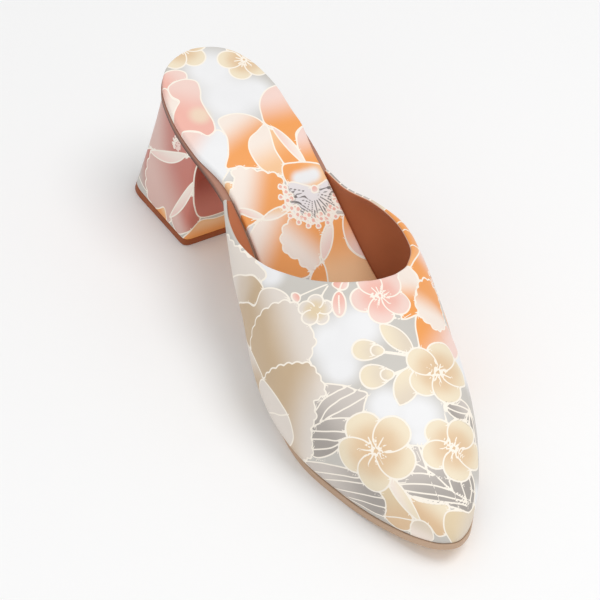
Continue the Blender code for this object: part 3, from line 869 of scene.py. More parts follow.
UPPER_PRINT: tuple[Motif, ...] = (
    # soft clouds of the ground
    Cloud(152, -6, 11), Cloud(155, -18, 12), Cloud(165, -21, 8), Cloud(187, -13, 9), Cloud(196, -3, 11),
    Cloud(205, -7, 5), Cloud(115, -27, 6), Cloud(182, 32, 12), Cloud(150, 64, 16), Cloud(204, 42, 14),
    Cloud(236, 8, 8), Cloud(108, 50, 10),
    # grey leaves
    Patch(((168, -29.5), (170, -26), (172.5, -22.5), (175.5, -20.3), (179, -17), (182.5, -20), (186.5, -23),
          (190.5, -30), (192.5, -37), (192, -45), (187, -54), (176, -48), (169, -38)), (186, -48), (175, -22),
          Tint.LEAF, Tint.LEAF_PALE),
    Vein(((179.5, -43), (180.5, -37), (183, -31), (185, -27), (186.6, -23.2))),
    Vein(((179.5, -39.5), (177.5, -33), (176.5, -27), (176.3, -20.8))),
    Vein(((180.4, -37), (180.7, -30), (180, -18.5))),
    Vein(((175, -38.5), (173.5, -33), (173, -27), (173, -23.2))),
    Vein(((179.8, -46), (184, -40), (187.5, -34), (190, -30.5))),
    Vein(((182.5, -48), (186.5, -42), (190, -37), (191, -32.5))),
    Vein(((184.7, -52.5), (188, -47), (190.4, -42), (191.6, -36))),
    Patch(((185, -64), (190, -54.5), (195, -48), (199, -43), (203, -38.5), (206, -36), (209, -33.8),
          (213, -32.5), (217, -32), (220, -33.2), (222.5, -36.5), (224.5, -40), (222, -44), (214, -51),
          (206, -59), (196, -66)), (194, -54), (216, -36), Tint.LEAF_PALE, Tint.LEAF),
    Vein(((190.5, -63), (194, -57), (198, -51), (202, -45), (205.5, -40), (207.5, -35.5))),
    Vein(((195, -63), (199, -55), (203, -48), (208, -40), (212, -33))),
    Vein(((202, -59), (207.5, -50), (212, -43), (216, -37), (218.5, -32.5))),
    Vein(((209, -54), (214, -46.5), (219, -40), (221.5, -36))),
    Patch(((204.5, -16), (206.5, -10), (210, -4.5), (216, 2), (225, 6.5), (233, 5), (238.5, 1), (236, -5),
          (232, -11), (227, -17.5), (222, -22), (217, -24.5), (214, -24.5), (211, -18)), (208, -10),
          (230, -8), Tint.LEAF_PALE, Tint.LEAF),
    Vein(((216.5, -24), (219.5, -18), (223, -12), (228.3, -5.5))),
    Vein(((219.5, -23), (223, -18.5), (228, -11), (232, -5), (234.6, 0))),
    Vein(((223.5, -20.5), (228, -15), (232, -8.5), (235.5, -1))),
    Vein(((211.5, -14.5), (216, -11.5), (220, -9), (225, -7), (229, -5), (233, -1))),
    Vein(((207, -9.3), (213, -10.3), (219, -11))), Vein(((215.5, -17), (217.5, -13), (219.7, -10))),
    Vein(((220, -4.4), (225, -4.9), (229, -5.2))), Vein(((221, 0), (227, -0.5), (234, -0.6))),
    Vein(((226, 4.5), (230, 4), (234, 1.5))), Leaf(195.5, 9, 202, 19, 4.5, veins=2),
    Leaf(201, 18.5, 222, 10.5, 3.6, veins=2), Stem(((193, 10), (199, 7.3), (205, 5.5))),
    Leaf(196, 36, 226, 26, 7.5, veins=4), Leaf(92, 48, 116, 42, 6.0, veins=4),
    Leaf(150, 76, 188, 54, 10.0, veins=5),
    # petals at the toe
    Patch(((211, -27), (214.5, -30.5), (215, -32.3), (219, -32.6), (222.5, -36), (225, -41), (230, -40),
          (234, -32), (232, -27), (226, -26), (219, -27)), (216, -29), (229, -35), Tint.FERN, Tint.PEACH),
    Vein(((225, -39), (227.5, -33), (231, -27))),
    Patch(((220, -24), (226, -25), (232, -24.5), (236, -21), (241, -20.5), (242, -15), (238, -12),
          (233, -9.5), (229.5, -15), (226, -19.5)), (234, -20), (231, -13), Tint.PEACH, Tint.CREAM),
    Leaf(210, -26, 233, -24, 2.4, Tint.PETAL_WHITE, Tint.CREAM, 0),
    Patch(((235, -12), (240, -15.5), (248, -14), (249, -3), (244, 4), (236, 5), (238, 0), (236.5, -5)),
          (238, -11), (244, -3), Tint.FERN, Tint.SAND),
    Patch(((231.5, -26), (233, -30), (236, -33.5), (241, -31), (241, -24), (238, -21.3), (234, -22)),
          (234, -23), (239, -30), Tint.SAND, Tint.PETAL_WHITE),
    # tan peony on the inner side
    Patch(((88, -31), (96, -29.5), (104, -28.3), (113, -28), (116, -33), (114, -40), (112, -54), (96, -45)),
          (104, -42), (108, -30), Tint.SHELL, Tint.SHELL, 5.0),
    Patch(((109, -36), (113, -33), (118, -32.5), (121, -39.5), (117, -42.5), (112, -52), (103, -46)),
          (118, -38), (106, -42), Tint.TAN, Tint.SHELL),
    Patch(((118.3, -33), (120, -29.5), (123, -26.7), (127, -25), (132, -26), (131, -54), (122, -60),
          (112, -52), (114, -46), (117, -42.5), (121, -40)), (122, -44), (124, -28), Tint.TAN, Tint.SHELL),
    Patch(((130, -25), (133, -23.2), (137, -22.3), (142, -22), (146, -24), (150, -24), (153, -27),
          (155.5, -29.6), (160, -32), (158, -52), (146, -58), (132.5, -54), (128, -46), (126.5, -40),
          (126.6, -34)), (140, -43), (144, -26), Tint.TAN, Tint.SHELL, 5.0),
    Patch(((158.5, -30.5), (163, -29.7), (168, -29.8), (171.7, -31), (172, -37.5), (177, -40), (179.4, -45),
          (183.5, -49.5), (186.5, -54), (185, -60), (182, -67), (166, -67), (149, -56), (149.3, -47),
          (151, -41.5), (154, -36)), (160, -48), (177, -38), Tint.TAN, Tint.SHELL, 4.0),
    Patch(((112, -52), (122, -57), (132, -54), (140, -53), (149, -53.5), (150, -70), (126, -70)), (130, -56),
          (140, -66), Tint.SHELL, Tint.TAN),
    Patch(((148.5, -53.6), (153, -52), (158, -51.2), (163, -51.1), (168, -51.5), (171.5, -53), (175, -56),
          (172, -70), (152, -72)), (160, -52), (152, -64), Tint.SHELL, Tint.SHELL),
    Vein(((157, -65), (161.5, -59), (165.5, -55), (167.7, -51.5))),
    # sprigs and buds
    Stem(((129.5, -22), (129.8, -15), (130.2, -9))), Stem(((131, -9), (134, -13), (138.5, -15.2))),
    Petal(129.4, -22.3, 1.6, 2.4, 270, Tint.PINK, Tint.BLUSH),
    Blossom(138.6, -18.2, 6.6, 10, Tint.FERN, Tint.SHELL, 0),
    Petal(132.5, -4.2, 3.2, 2.6, 60, Tint.PINK, Tint.BLUSH), Stem(((131, -2), (133.5, -4.6), (136, -6.6))),
    Petal(140.3, -8.6, 5.6, 2.7, -25, Tint.PINK, Tint.BLUSH, egg=0.0),
    Stem(((137, -7), (140.5, -8.7), (144, -10.3))), Stem(((166, -3), (169, 2), (171.5, 6)), 0.8),
    Stem(((176.3, -3), (176.4, 1), (176, 6)), 0.8),
    Petal(162.8, -8, 6.2, 4.3, 243, Tint.SAND, Tint.CREAM, egg=0.3),
    Petal(164.6, -4.6, 2.8, 2.4, 243, Tint.CREAM, Tint.SAND),
    Petal(174, -10.3, 6.4, 4.9, 256, Tint.SAND, Tint.CREAM, egg=0.3),
    Petal(175.4, -6, 2.8, 2.4, 256, Tint.CREAM, Tint.SAND),
    Leaf(155, 1.8, 171, 8.6, 4.2, Tint.CREAM, Tint.SAND, 0),
    Leaf(176.5, 5, 189, -7.8, 4.9, Tint.CREAM, Tint.SAND, 0),
    # orange peony on the outer side
    Petal(130, 64, 15, 12, 130, Tint.APRICOT, Tint.PETAL_WHITE, 7),
    Petal(166, 54, 16, 13, 30, Tint.ORANGE, Tint.APRICOT, 7),
    Petal(150, 64, 15, 12, 80, Tint.ORANGE, Tint.PETAL_WHITE, 7),
    Petal(120, 48, 14, 11, 175, Tint.ORANGE, Tint.APRICOT, 6),
    Patch(((78, 31), (90, 32), (99, 32), (100.5, 38), (98, 48), (87, 53), (76, 45)), (78, 36), (98, 40),
          Tint.LEAF, Tint.LEAF_PALE),
    *(Vein(((x, 32), (x - 0.8, 40), (x - 3, 48))) for x in (82.6, 86.3, 89.8, 93.4, 97)),
    Patch(((99, 32), (108, 32), (110, 39), (105, 47), (98, 45)), (108, 37), (100, 40), Tint.CREAM, Tint.SAND),
    Patch(((107, 31), (116, 30), (118, 37), (115, 46), (108, 47)), (112, 34), (111, 46), Tint.ORANGE,
          Tint.BLUSH),
    Patch(((116, 31), (124, 29), (132, 27), (138, 23), (143, 21), (146, 30), (140, 40), (128, 46), (117, 45)),
          (124, 34), (134, 42), Tint.ORANGE, Tint.APRICOT),
    Stem(((119, 30), (120, 36), (122, 44))), Stem(((128.5, 28), (128.5, 36), (127, 44))),
    Patch(((126, 40), (132, 34), (138, 28), (142, 25), (143.7, 30), (144, 42), (134, 46)), (141, 34),
          (131, 40), Tint.ORANGE, Tint.BLUSH),
    Patch(((156, 19.3), (160, 16), (165, 14), (171, 12.5), (174, 19), (179, 23), (178, 30), (168, 40),
          (160, 30)), (161, 19), (174, 28), Tint.ORANGE, Tint.BLUSH),
    Patch(((136, 18), (144, 18.3), (150, 17.3), (156, 12), (156.6, 16), (156, 19.3), (151, 22.2), (147, 25.5),
          (143.7, 30), (140, 26)), (151, 20), (141, 24), Tint.ORANGE, Tint.PETAL_WHITE),
    Patch(((143.5, 31.5), (147, 26.3), (151, 22.3), (155, 20), (158, 19.8), (161.5, 21.6), (165, 23.3),
          (165.5, 28), (163, 34), (154, 40), (144, 40)), (149, 33), (158, 25), Tint.ORANGE, Tint.PETAL_WHITE,
          4.0),
    Stamens(142, 48, 9, 20, Tint.STAMEN, Tint.PINK, lobe=0.9),
    # blossoms
    Blossom(143.5, 8.5, 12, 262, Tint.PINK, Tint.BLUSH), Stem(((154.6, 9), (156.5, 13), (156.3, 18))),
    Blossom(182, 14, 13, 285), Blossom(213, 3.5, 12.8, 198), Blossom(201, -25, 15.5, 180),
    Blossom(196, 64, 12, 40), Blossom(216, 42, 11, 0),
)

INSOLE_PRINT: tuple[Motif, ...] = (
    Cloud(14, 2, 13), Cloud(32, 2, 16), Cloud(54, -17, 16), Cloud(33, 14, 9), Cloud(100, -20, 12),
    # cream blossoms at the back
    Blossom(-2, -4.5, 12, 25), Blossom(14.5, 18.5, 11, 320),
    # pink peony on the inner side
    Patch(((8.5, -15), (10, -20), (16, -25), (18, -20), (15, -16), (15.5, -10), (12, -8.8), (9.5, -11)),
          (15, -21), (12, -11), Tint.PINK, Tint.BLUSH),
    Patch(((41, -28), (42.5, -22), (45, -18), (47.5, -15), (46, -11), (55, -8), (66, -15), (70, -24),
          (66, -28)), (46, -24), (54, -18), Tint.BLUSH, Tint.CLOUD),
    Patch(((14, -27), (17.5, -20.5), (23, -20.5), (26, -18.4), (31, -24), (34, -28)), (20, -26), (24, -20),
          Tint.PINK, Tint.PETAL_WHITE),
    Patch(((15, -14), (17, -19.5), (22, -20.3), (25.5, -18.5), (28, -21), (32, -24.5), (41, -26), (42, -22),
          (44, -18.5), (47.3, -16), (46, -12), (42, -10.3), (35, -10), (28, -9.4), (23, -7.2), (18, -6.7),
          (15.5, -10)), (33, -20), (19, -10), Tint.PINK, Tint.BLUSH),
    Cloud(36, -14, 5, Tint.CREAM, 0.7),
    # orange peony
    Patch(((33, 25), (33.5, 20), (36, 16), (40, 12.8), (45, 11), (50.5, 10), (55, 13), (61, 15.5), (66, 17.8),
          (60, 20), (56, 27)), (55, 17), (37, 19), Tint.ORANGE, Tint.BLUSH),
    Patch(((40.8, -7), (40.2, -3), (41, 1.5), (43.5, 5.5), (47, 8.3), (52, 9.5), (62, 8), (70, 0), (68, -6),
          (66, -11), (65, -15.5), (59, -12), (52, -9)), (58, 0), (43, -5), Tint.ORANGE, Tint.PETAL_WHITE),
    Patch(((57, 27), (61, 20), (66, 18), (74, 17.5), (80, 26), (72, 30)), (74, 22), (61, 23), Tint.ORANGE,
          Tint.BLUSH),
    Patch(((52, 9), (62, 8), (74, 8), (76, 17), (70, 17), (60, 14.6)), (70, 13), (56, 10), Tint.ORANGE,
          Tint.APRICOT),
    Patch(((51, 9), (53, 5), (55.5, 0), (59, -2.2), (65, -2.6), (70, -1.3), (74, 2.5), (76, 8), (64, 8)),
          (72, 5), (57, 3), Tint.APRICOT, Tint.PETAL_WHITE),
    Leaf(53, 11.8, 75, 18, 1.9, Tint.BLUSH, Tint.PETAL_WHITE, 0),
    Patch(((70, -22), (80, -24), (91, -20), (91, -15), (89, -10), (80, -12), (72, -15)), (86, -20), (72, -20),
          Tint.ORANGE, Tint.APRICOT),
    Patch(((66, -12), (67.5, -14), (72, -14.8), (74, -17.5), (78, -18.6), (82.5, -18.5), (85, -14.5),
          (89.5, -10), (90.5, -5), (88, 4), (82, 5), (76, 5), (71, -2), (68, -7)), (83, -2), (76, -14),
          Tint.ORANGE, Tint.PETAL_WHITE, 5.0),
    Leaf(82.5, -18.5, 90.5, -8, 1.6, Tint.BLUSH, Tint.PETAL_WHITE, 0),
    Patch(((90, -9), (93, -15), (97, -19), (104, -19.8), (111, -15.5), (115, -9), (119, -4), (119, 2),
          (112, 4), (98, 8), (90, 6), (91, -3)), (108, -6), (98, -17), Tint.ORANGE, Tint.PETAL_WHITE),
    Leaf(90.5, -9.5, 89.5, 5, 2.0, Tint.PETAL_WHITE, Tint.APRICOT, 0),
    Patch(((100, 20), (105, 15), (113, 10.5), (118, 9), (124, 7), (140, 10), (142, 34), (124, 36), (120, 27),
          (114, 23), (107, 23.5), (101, 26)), (106, 19), (124, 18), Tint.ORANGE, Tint.APRICOT),
    Patch(((116, 9), (119, 3), (124, 0), (132, 4), (126, 8)), (121, 5), (130, 5), Tint.ORANGE, Tint.APRICOT),
    Patch(((95, 36), (97, 29), (101, 25.5), (107, 23.2), (113, 23.2), (118, 25.5), (121, 30), (121, 36)),
          (100, 29), (118, 30), Tint.ORANGE, Tint.BLUSH),
    Patch(((94, 5), (95.5, 0), (99, -3.6), (103, -5), (108, -4), (111, -0.8), (115, 0.8), (117.5, 4),
          (115.5, 8), (112, 10.3), (107, 13), (103, 15.5), (100.5, 20), (97, 14)), (103, 13), (110, 1),
          Tint.ORANGE, Tint.PETAL_WHITE, 5.0),
    Leaf(100.5, 19.5, 115.5, 9.8, 2.5, Tint.PETAL_WHITE, Tint.BLUSH, 0),
    Patch(((72, 8), (76, 6.5), (82, 8), (88, 16), (87, 26), (83, 30), (79, 27), (75, 21), (72.5, 14)),
          (84, 18), (74, 12), Tint.APRICOT, Tint.ORANGE),
    Cloud(79.6, 12.5, 3.6), Cloud(80, 16, 3.8), Cloud(80, 19.5, 3.4),
    Patch(((80, 7), (84.7, 3.4), (91.4, 4), (97, 7.6), (99.8, 13.7), (99.2, 20.4), (95.4, 26), (89.3, 28.6),
          (84.5, 28), (85, 18)), (88, 15), (98, 19), Tint.HEART, Tint.PETAL_WHITE),
    Stamens(87, 16, 12.4, 14, Tint.STAMEN, Tint.PINK, lobe=1.25, half=0.3, turn=-118, sweep=222, start=0.3),
    Stamens(87, 16, 12.0, 14, Tint.STAMEN, Tint.PINK, lobe=1.15, half=0.3, turn=-110, sweep=222, start=0.62),
    Stamens(87, 16, 14.4, 24, Tint.BLUSH, Tint.PINK, lobe=1.05, half=0.0, turn=-119, sweep=216),
    Petal(86, 17.5, 1.6, 1.6, 0, Tint.PINK, Tint.BLUSH),
    # under the vamp
    Leaf(128, -16, 160, -6, 9, veins=5), Leaf(140, 34, 172, 20, 10, veins=5), Blossom(178, 0, 15, 0),
    Blossom(205, -14, 12, 30),
)

HEEL_PRINT: tuple[Motif, ...] = (
    Cloud(-86, 46, 14), Cloud(-92, 20, 10), Cloud(70, 30, 16), Cloud(92, 48, 12),
    Leaf(-98, 12, -82, 40, 6, veins=3), Leaf(60, 54, 92, 20, 9, veins=5),
    # dusty pink peony on the inner side
    Patch(((-80, 34), (-76, 38), (-66, 47), (-58, 56), (-60, 66), (-84, 66), (-86, 46)), (-70, 52), (-80, 44),
          Tint.ROSE, Tint.GROUND),
    Patch(((-74, 30), (-66, 30), (-60, 31), (-52, 36), (-44, 43), (-36, 49), (-30, 54), (-30, 66), (-60, 66),
          (-66, 52), (-72, 40)), (-42, 52), (-62, 42), Tint.ROSE, Tint.DUSK, 6.0),
    Patch(((-77, 4), (-76, 14), (-74, 21), (-66, 27), (-60, 31.5), (-56, 20), (-58, 8), (-66, 9)), (-60, 26),
          (-75, 10), Tint.ROSE, Tint.GROUND),
    Vein(((-76, 16), (-70, 23), (-62, 30.5))),
    Patch(((-37, 9), (-32, 20), (-27, 30), (-24, 34), (-20, 22), (-20, 14), (-25, 9), (-31, 4)), (-24, 18),
          (-33, 10), Tint.ROSE, Tint.DUSK),
    Patch(((-60, 31), (-62, 24), (-61.5, 17), (-59, 10), (-55, 5), (-50, 3), (-38, 3), (-37, 9), (-33, 19),
          (-28, 29), (-25, 36), (-23, 46), (-24, 54), (-32, 51), (-44, 42), (-53, 35)), (-32, 42), (-54, 16),
          Tint.ROSE, Tint.DUSK, 6.0),
    Leaf(-62, 29, -31, 53, 2.6, Tint.BLUSH, Tint.PETAL_WHITE, 0, -2.0),
    Leaf(-38, 8, -24, 42, 2.0, Tint.BLUSH, Tint.PETAL_WHITE, 0, -1.0),
    Patch(((-52, 2), (-47, 6), (-43, 10), (-40, 5), (-39, 1)), (-44, 4), (-42, 9), Tint.ORANGE, Tint.APRICOT),
    Stamens(-36, 50, 7, 10, Tint.BLUSH, Tint.WINE, turn=95, sweep=110),
    # breast: a dark red petal of the print, deepened with painted shade, darkest at its top
    Patch(((-24, 34), (-23, 54), (-16, 66), (16, 66), (18, 40), (10, 20), (-6, 16), (-20, 18), (-23, 26)),
          (-8, 46), (-6, 20), Tint.WINE, Tint.ROSE),
    Patch(((-28, 1), (-24, 9), (-19, 15), (-12, 13.5), (0, 14), (12, 12), (22, 4), (18, 0)), (-8, 4),
          (-8, 13), Tint.ORANGE, Tint.APRICOT),
    # outer side
    Petal(30, 44, 18, 13, 100, Tint.ROSE, Tint.PINK, 7),
    Petal(34, 14, 17, 12, -60, Tint.ORANGE, Tint.APRICOT, 6),
    Petal(52, 22, 17, 13, -20, Tint.ROSE, Tint.PETAL_WHITE, 8),
    Petal(54, 48, 16, 13, 40, Tint.PINK, Tint.PETAL_WHITE, 8), Stamens(42, 36, 8, 16, Tint.BLUSH, Tint.WINE),
    Blossom(80, 18, 11, 20),
)


LINE_NEARNESS = 0.12    # closeness to a line, 0 to 1, from which its ink is full
MIX_A, MIX_B, MIX_RESULT = 6, 7, 2   # sockets of a colour mix


class Nodes:
    """A node tree under construction: adds nodes and joins them."""

    def __init__(self, tree: bpy.types.NodeTree) -> None:
        """Keeps the tree."""
        self.tree = tree

    def add(self, kind: str, **values: object) -> bpy.types.Node:
        """Adds a node and sets its properties.

        Args:
            kind: Type of node.
            values: Properties by name.

        Returns:
            The node.
        """
        node = self.tree.nodes.new(kind)
        for name, value in values.items():
            setattr(node, name, value)
        return node

    def join(self, start: bpy.types.NodeSocket, end: bpy.types.NodeSocket) -> None:
        """Joins an output to an input."""
        self.tree.links.new(start, end)


class EffectGroups:
    """Node groups that more than one material uses, each made once."""

    @staticmethod
    def _tree(name: str, inputs: dict[str, tuple[str, object]],
              outputs: dict[str, str]) -> bpy.types.NodeTree:
        """Makes an empty group with its sockets.

        Args:
            name: Name of the group.
            inputs: Socket type and start value for each input.
            outputs: Socket type for each output.

        Returns:
            The group's tree.
        """
        tree = bpy.data.node_groups.new(name, "ShaderNodeTree")
        for label, (kind, value) in inputs.items():
            socket = tree.interface.new_socket(label, in_out="INPUT", socket_type=kind)
            socket.default_value = value
        for label, kind in outputs.items():
            tree.interface.new_socket(label, in_out="OUTPUT", socket_type=kind)
        return tree

    @classmethod
    def grain(cls) -> bpy.types.NodeTree:
        """Fine leather grain: a height for bump and a soft mottle.

        Returns:
            The group's tree.
        """
        made = bpy.data.node_groups.get("leather_grain")
        if made:
            return made
        tree = cls._tree("leather_grain", {"Pores per metre": ("NodeSocketFloat", 1400.0),
                                           "Mottle per metre": ("NodeSocketFloat", 60.0)},
                         {"Height": "NodeSocketFloat", "Mottle": "NodeSocketFloat"})
        n = Nodes(tree)
        start, end = n.add("NodeGroupInput"), n.add("NodeGroupOutput")
        place = n.add("ShaderNodeTexCoord")
        pores = n.add("ShaderNodeTexVoronoi", feature="F1")
        cloud = n.add("ShaderNodeTexNoise")
        cloud.inputs["Detail"].default_value = 4.0
        for node, label in ((pores, "Pores per metre"), (cloud, "Mottle per metre")):
            n.join(place.outputs["Object"], node.inputs["Vector"])
            n.join(start.outputs[label], node.inputs["Scale"])
        n.join(pores.outputs["Distance"], end.inputs["Height"])
        n.join(cloud.outputs["Fac"], end.inputs["Mottle"])
        return tree

    @classmethod
    def drawn_print(cls) -> bpy.types.NodeTree:
        """The print: fills from one attribute, inked where the line attribute is within one half width.

        Returns:
            The group's tree.
        """
        made = bpy.data.node_groups.get("drawn_print")
        if made:
            return made
        widths = {"Inner": ("NodeSocketFloat", 0.55), "Outer": ("NodeSocketFloat", 1.05)}
        tree = cls._tree("drawn_print", widths, {"Colour": "NodeSocketColor"})
        n = Nodes(tree)
        start, end = n.add("NodeGroupInput"), n.add("NodeGroupOutput")
        fill, ink, line, close = (n.add("ShaderNodeAttribute", attribute_name=name)
                                  for name in ("fill", "ink", "line", "close"))
        width = n.add("ShaderNodeMath", operation="ABSOLUTE")
        n.join(line.outputs["Fac"], width.inputs[0])
        step = n.add("ShaderNodeMapRange", interpolation_type="SMOOTHSTEP")
        n.join(width.outputs[0], step.inputs["Value"])
        n.join(start.outputs["Outer"], step.inputs["From Min"])
        n.join(start.outputs["Inner"], step.inputs["From Max"])
        sure = n.add("ShaderNodeMapRange")
        sure.inputs["From Max"].default_value = LINE_NEARNESS
        n.join(close.outputs["Fac"], sure.inputs["Value"])
        mask = n.add("ShaderNodeMath", operation="MULTIPLY")
        n.join(step.outputs["Result"], mask.inputs[0])
        n.join(sure.outputs["Result"], mask.inputs[1])
        mix = n.add("ShaderNodeMix", data_type="RGBA")
        n.join(mask.outputs[0], mix.inputs[0])
        n.join(fill.outputs["Color"], mix.inputs[MIX_A])
        n.join(ink.outputs["Color"], mix.inputs[MIX_B])
        n.join(mix.outputs[MIX_RESULT], end.inputs["Colour"])
        return tree


@dataclass(frozen=True)
class Finish:
    """A satin surface under a fine grain; its kinds give the colour."""

    name: str
    roughness: float = 0.5
    pores: float = 1400.0
    mottle: float = 60.0
    bump: float = 0.06
    sheen: float = 0.0
    specular: float = 0.35
    wear: float = 0.08
    relief: float = 0.0002

    def _shader(self, material: bpy.types.Material) -> bpy.types.Node:
        """Finds the shader and sets the values that are the same all over.

        Args:
            material: The material.

        Returns:
            Its shader node.
        """
        shader = material.node_tree.nodes["Principled BSDF"]
        shader.inputs["Specular IOR Level"].default_value = self.specular
        shader.inputs["Sheen Weight"].default_value = self.sheen
        return shader

    def _colour(self, nodes: Nodes, grain: bpy.types.Node) -> bpy.types.NodeSocket:
        """The finish's colour."""
        raise NotImplementedError

    def make(self) -> bpy.types.Material:
        """Makes the material.

        Returns:
            A material with colour and bump from its nodes.
        """
        material = bpy.data.materials.new(self.name)
        material.use_nodes = True
        nodes = Nodes(material.node_tree)
        shader = self._shader(material)
        grain = nodes.add("ShaderNodeGroup", node_tree=EffectGroups.grain())
        grain.inputs["Pores per metre"].default_value = self.pores
        grain.inputs["Mottle per metre"].default_value = self.mottle
        nodes.join(self._colour(nodes, grain), shader.inputs["Base Color"])
        wear = nodes.add("ShaderNodeMapRange")
        wear.inputs["To Min"].default_value = self.roughness - self.wear
        wear.inputs["To Max"].default_value = self.roughness + self.wear
        nodes.join(grain.outputs["Mottle"], wear.inputs["Value"])
        nodes.join(wear.outputs["Result"], shader.inputs["Roughness"])
        relief = nodes.add("ShaderNodeBump")
        relief.inputs["Strength"].default_value = self.bump
        relief.inputs["Distance"].default_value = self.relief
        nodes.join(grain.outputs["Height"], relief.inputs["Height"])
        nodes.join(relief.outputs["Normal"], shader.inputs["Normal"])
        return material


@dataclass(frozen=True)
class PlainFinish(Finish):
    """Two tones mottled together."""

    tone: Tint = Tint.FLOOR
    shade: Tint = Tint.FLOOR

    def _colour(self, nodes: Nodes, grain: bpy.types.Node) -> bpy.types.NodeSocket:
        """The finish's colour, mottled between its two tones.

        Args:
            nodes: The material's nodes.
            grain: Its grain node.

        Returns:
            The colour's output.
        """
        mix = nodes.add("ShaderNodeMix", data_type="RGBA")
        mix.inputs[MIX_A].default_value = self.tone.rgba
        mix.inputs[MIX_B].default_value = self.shade.rgba
        nodes.join(grain.outputs["Mottle"], mix.inputs[0])
        return mix.outputs[MIX_RESULT]


@dataclass(frozen=True)
class PrintFinish(Finish):
    """Colours and lines from the piece's own attributes."""

    mottling: tuple[float, float] = (0.95, 1.04)

    def _colour(self, nodes: Nodes, grain: bpy.types.Node) -> bpy.types.NodeSocket:
        """The print's colour, with a little mottle worked in.

        Args:
            nodes: The material's nodes.
            grain: Its grain node.

        Returns:
            The colour's output.
        """
        drawn = nodes.add("ShaderNodeGroup", node_tree=EffectGroups.drawn_print())
        tone = nodes.add("ShaderNodeMapRange")
        for end, value in zip(("To Min", "To Max"), self.mottling):
            tone.inputs[end].default_value = value
        nodes.join(grain.outputs["Mottle"], tone.inputs["Value"])
        mix = nodes.add("ShaderNodeMix", data_type="RGBA", blend_type="MULTIPLY")
        mix.inputs[0].default_value = 1.0
        nodes.join(drawn.outputs["Colour"], mix.inputs[MIX_A])
        nodes.join(tone.outputs["Result"], mix.inputs[MIX_B])
        return mix.outputs[MIX_RESULT]


PRINTED_UPPER = PrintFinish("printed_upper", roughness=0.42, bump=0.05)
PRINTED_SOCK = PrintFinish("printed_sock", roughness=0.48, bump=0.05)
PRINTED_HEEL = PrintFinish("printed_heel", roughness=0.40, bump=0.05)
LINING = PlainFinish("brown_lining", 0.62, 1800.0, 40.0, 0.12, 0.15, tone=Tint.LINING, shade=Tint.LINING_DEEP)
# painted highlight: the folded top edge is coloured paler where it catches the light
RIM_HIGHLIGHT = PlainFinish("folded_edge_highlight", 0.5, 1800.0, 90.0, tone=Tint.RIM_HIGHLIGHT, shade=Tint.BLUSH)
SOLE_FACE = PrintFinish("tan_sole_face", 0.55, 900.0, 30.0)
SOLE_EDGE = PrintFinish("brown_sole_edge", 0.5, 1200.0, 80.0)
LIFT_RUBBER = PlainFinish("lift_rubber", 0.5, 700.0, 50.0, tone=Tint.LIFT, shade=Tint.LIFT_DARK)
STAMP = PlainFinish("size_stamp", tone=Tint.GOLD, shade=Tint.SOLE_EDGE)
PAPER = PlainFinish("pale_floor", 0.9, 200.0, 3.0, 0.0)


@dataclass
class Loft:
    """A closed piece through rings of points, each ring a closed run of its own.

    The rings become a grid whose seam is merged and whose ends are filled.
    """

    name: str
    rings: np.ndarray
    last: Last
    finishes: tuple[Finish, ...]
    bands: np.ndarray | None = None
    line_room: float = 0.5

    def build(self, paint: Canvas | None = None) -> bpy.types.Object:
        """Models the piece.

        Args:
            paint: Canvas whose points run ring by ring, or None for a piece with no print.

        Returns:
            The finished object, at the origin.
        """
        count, round_count = self.rings.shape[:2]
        bpy.ops.object.select_all(action="DESELECT")
        bpy.ops.mesh.primitive_grid_add(x_subdivisions=count - 1, y_subdivisions=round_count, size=2.0)
        obj = bpy.context.object
        obj.name = obj.data.name = self.name
        mesh = obj.data
        flat = np.empty(len(mesh.vertices) * 3)
        mesh.vertices.foreach_get("co", flat)
        flat = flat.reshape(-1, 3)
        ring = np.rint((flat[:, 0] + 1) / 2 * (count - 1)).astype(int)
        step = np.rint((flat[:, 1] + 1) / 2 * round_count).astype(int)
        places = (self.rings[ring, step % round_count] + self.last.origin) * MM
        mesh.vertices.foreach_set("co", places.ravel())
        if paint is not None:
            self._colour(mesh, paint, ring * round_count + step % round_count)
        self._dress(mesh, step)
        self._close()
        return obj

    def _colour(self, mesh: bpy.types.Mesh, paint: Canvas, order: np.ndarray) -> None:
        """Puts a canvas on the mesh as attributes.

        Args:
            mesh: The piece's mesh.
            paint: Its canvas.
            order: Number of the canvas point for each vertex.
        """
        for name, values in (("fill", paint.fill), ("ink", paint.ink)):
            layer = mesh.attributes.new(name, "FLOAT_COLOR", "POINT")
            rgba = np.column_stack([values[order], np.ones(len(order))])
            layer.data.foreach_set("color", rgba.ravel().astype(np.float32))
        for name, values in (("line", paint.line), ("close", paint.clearance < self.line_room)):
            layer = mesh.attributes.new(name, "FLOAT", "POINT")
            layer.data.foreach_set("value", values[order].astype(np.float32))

    def _dress(self, mesh: bpy.types.Mesh, step: np.ndarray) -> None:
        """Gives each band of the rings its finish.

        Args:
            mesh: The piece's mesh.
            step: Each vertex's place along its ring.
        """
        for finish in self.finishes:
            mesh.materials.append(bpy.data.materials.get(finish.name) or finish.make())
        if self.bands is not None:
            corners = np.empty(len(mesh.loops), dtype=np.int32)
            mesh.loops.foreach_get("vertex_index", corners)
            lowest = step[corners].reshape(-1, 4).min(axis=1)
            mesh.polygons.foreach_set("material_index", self.bands[lowest].astype(np.int32))

    def _close(self) -> None:
        """Merges the seam and the poles, fills the ends and turns the faces outwards."""
        bpy.ops.object.mode_set(mode="EDIT")
        bpy.ops.mesh.select_all(action="SELECT")
        bpy.ops.mesh.remove_doubles(threshold=MERGE_DISTANCE)
        bpy.ops.mesh.select_all(action="SELECT")
        bpy.ops.mesh.fill_holes(sides=0)
        bpy.ops.mesh.select_all(action="SELECT")
        bpy.ops.mesh.normals_make_consistent(inside=False)
        bpy.ops.object.mode_set(mode="OBJECT")
        bpy.ops.object.shade_smooth_by_angle(angle=math.radians(SMOOTH_ANGLE))


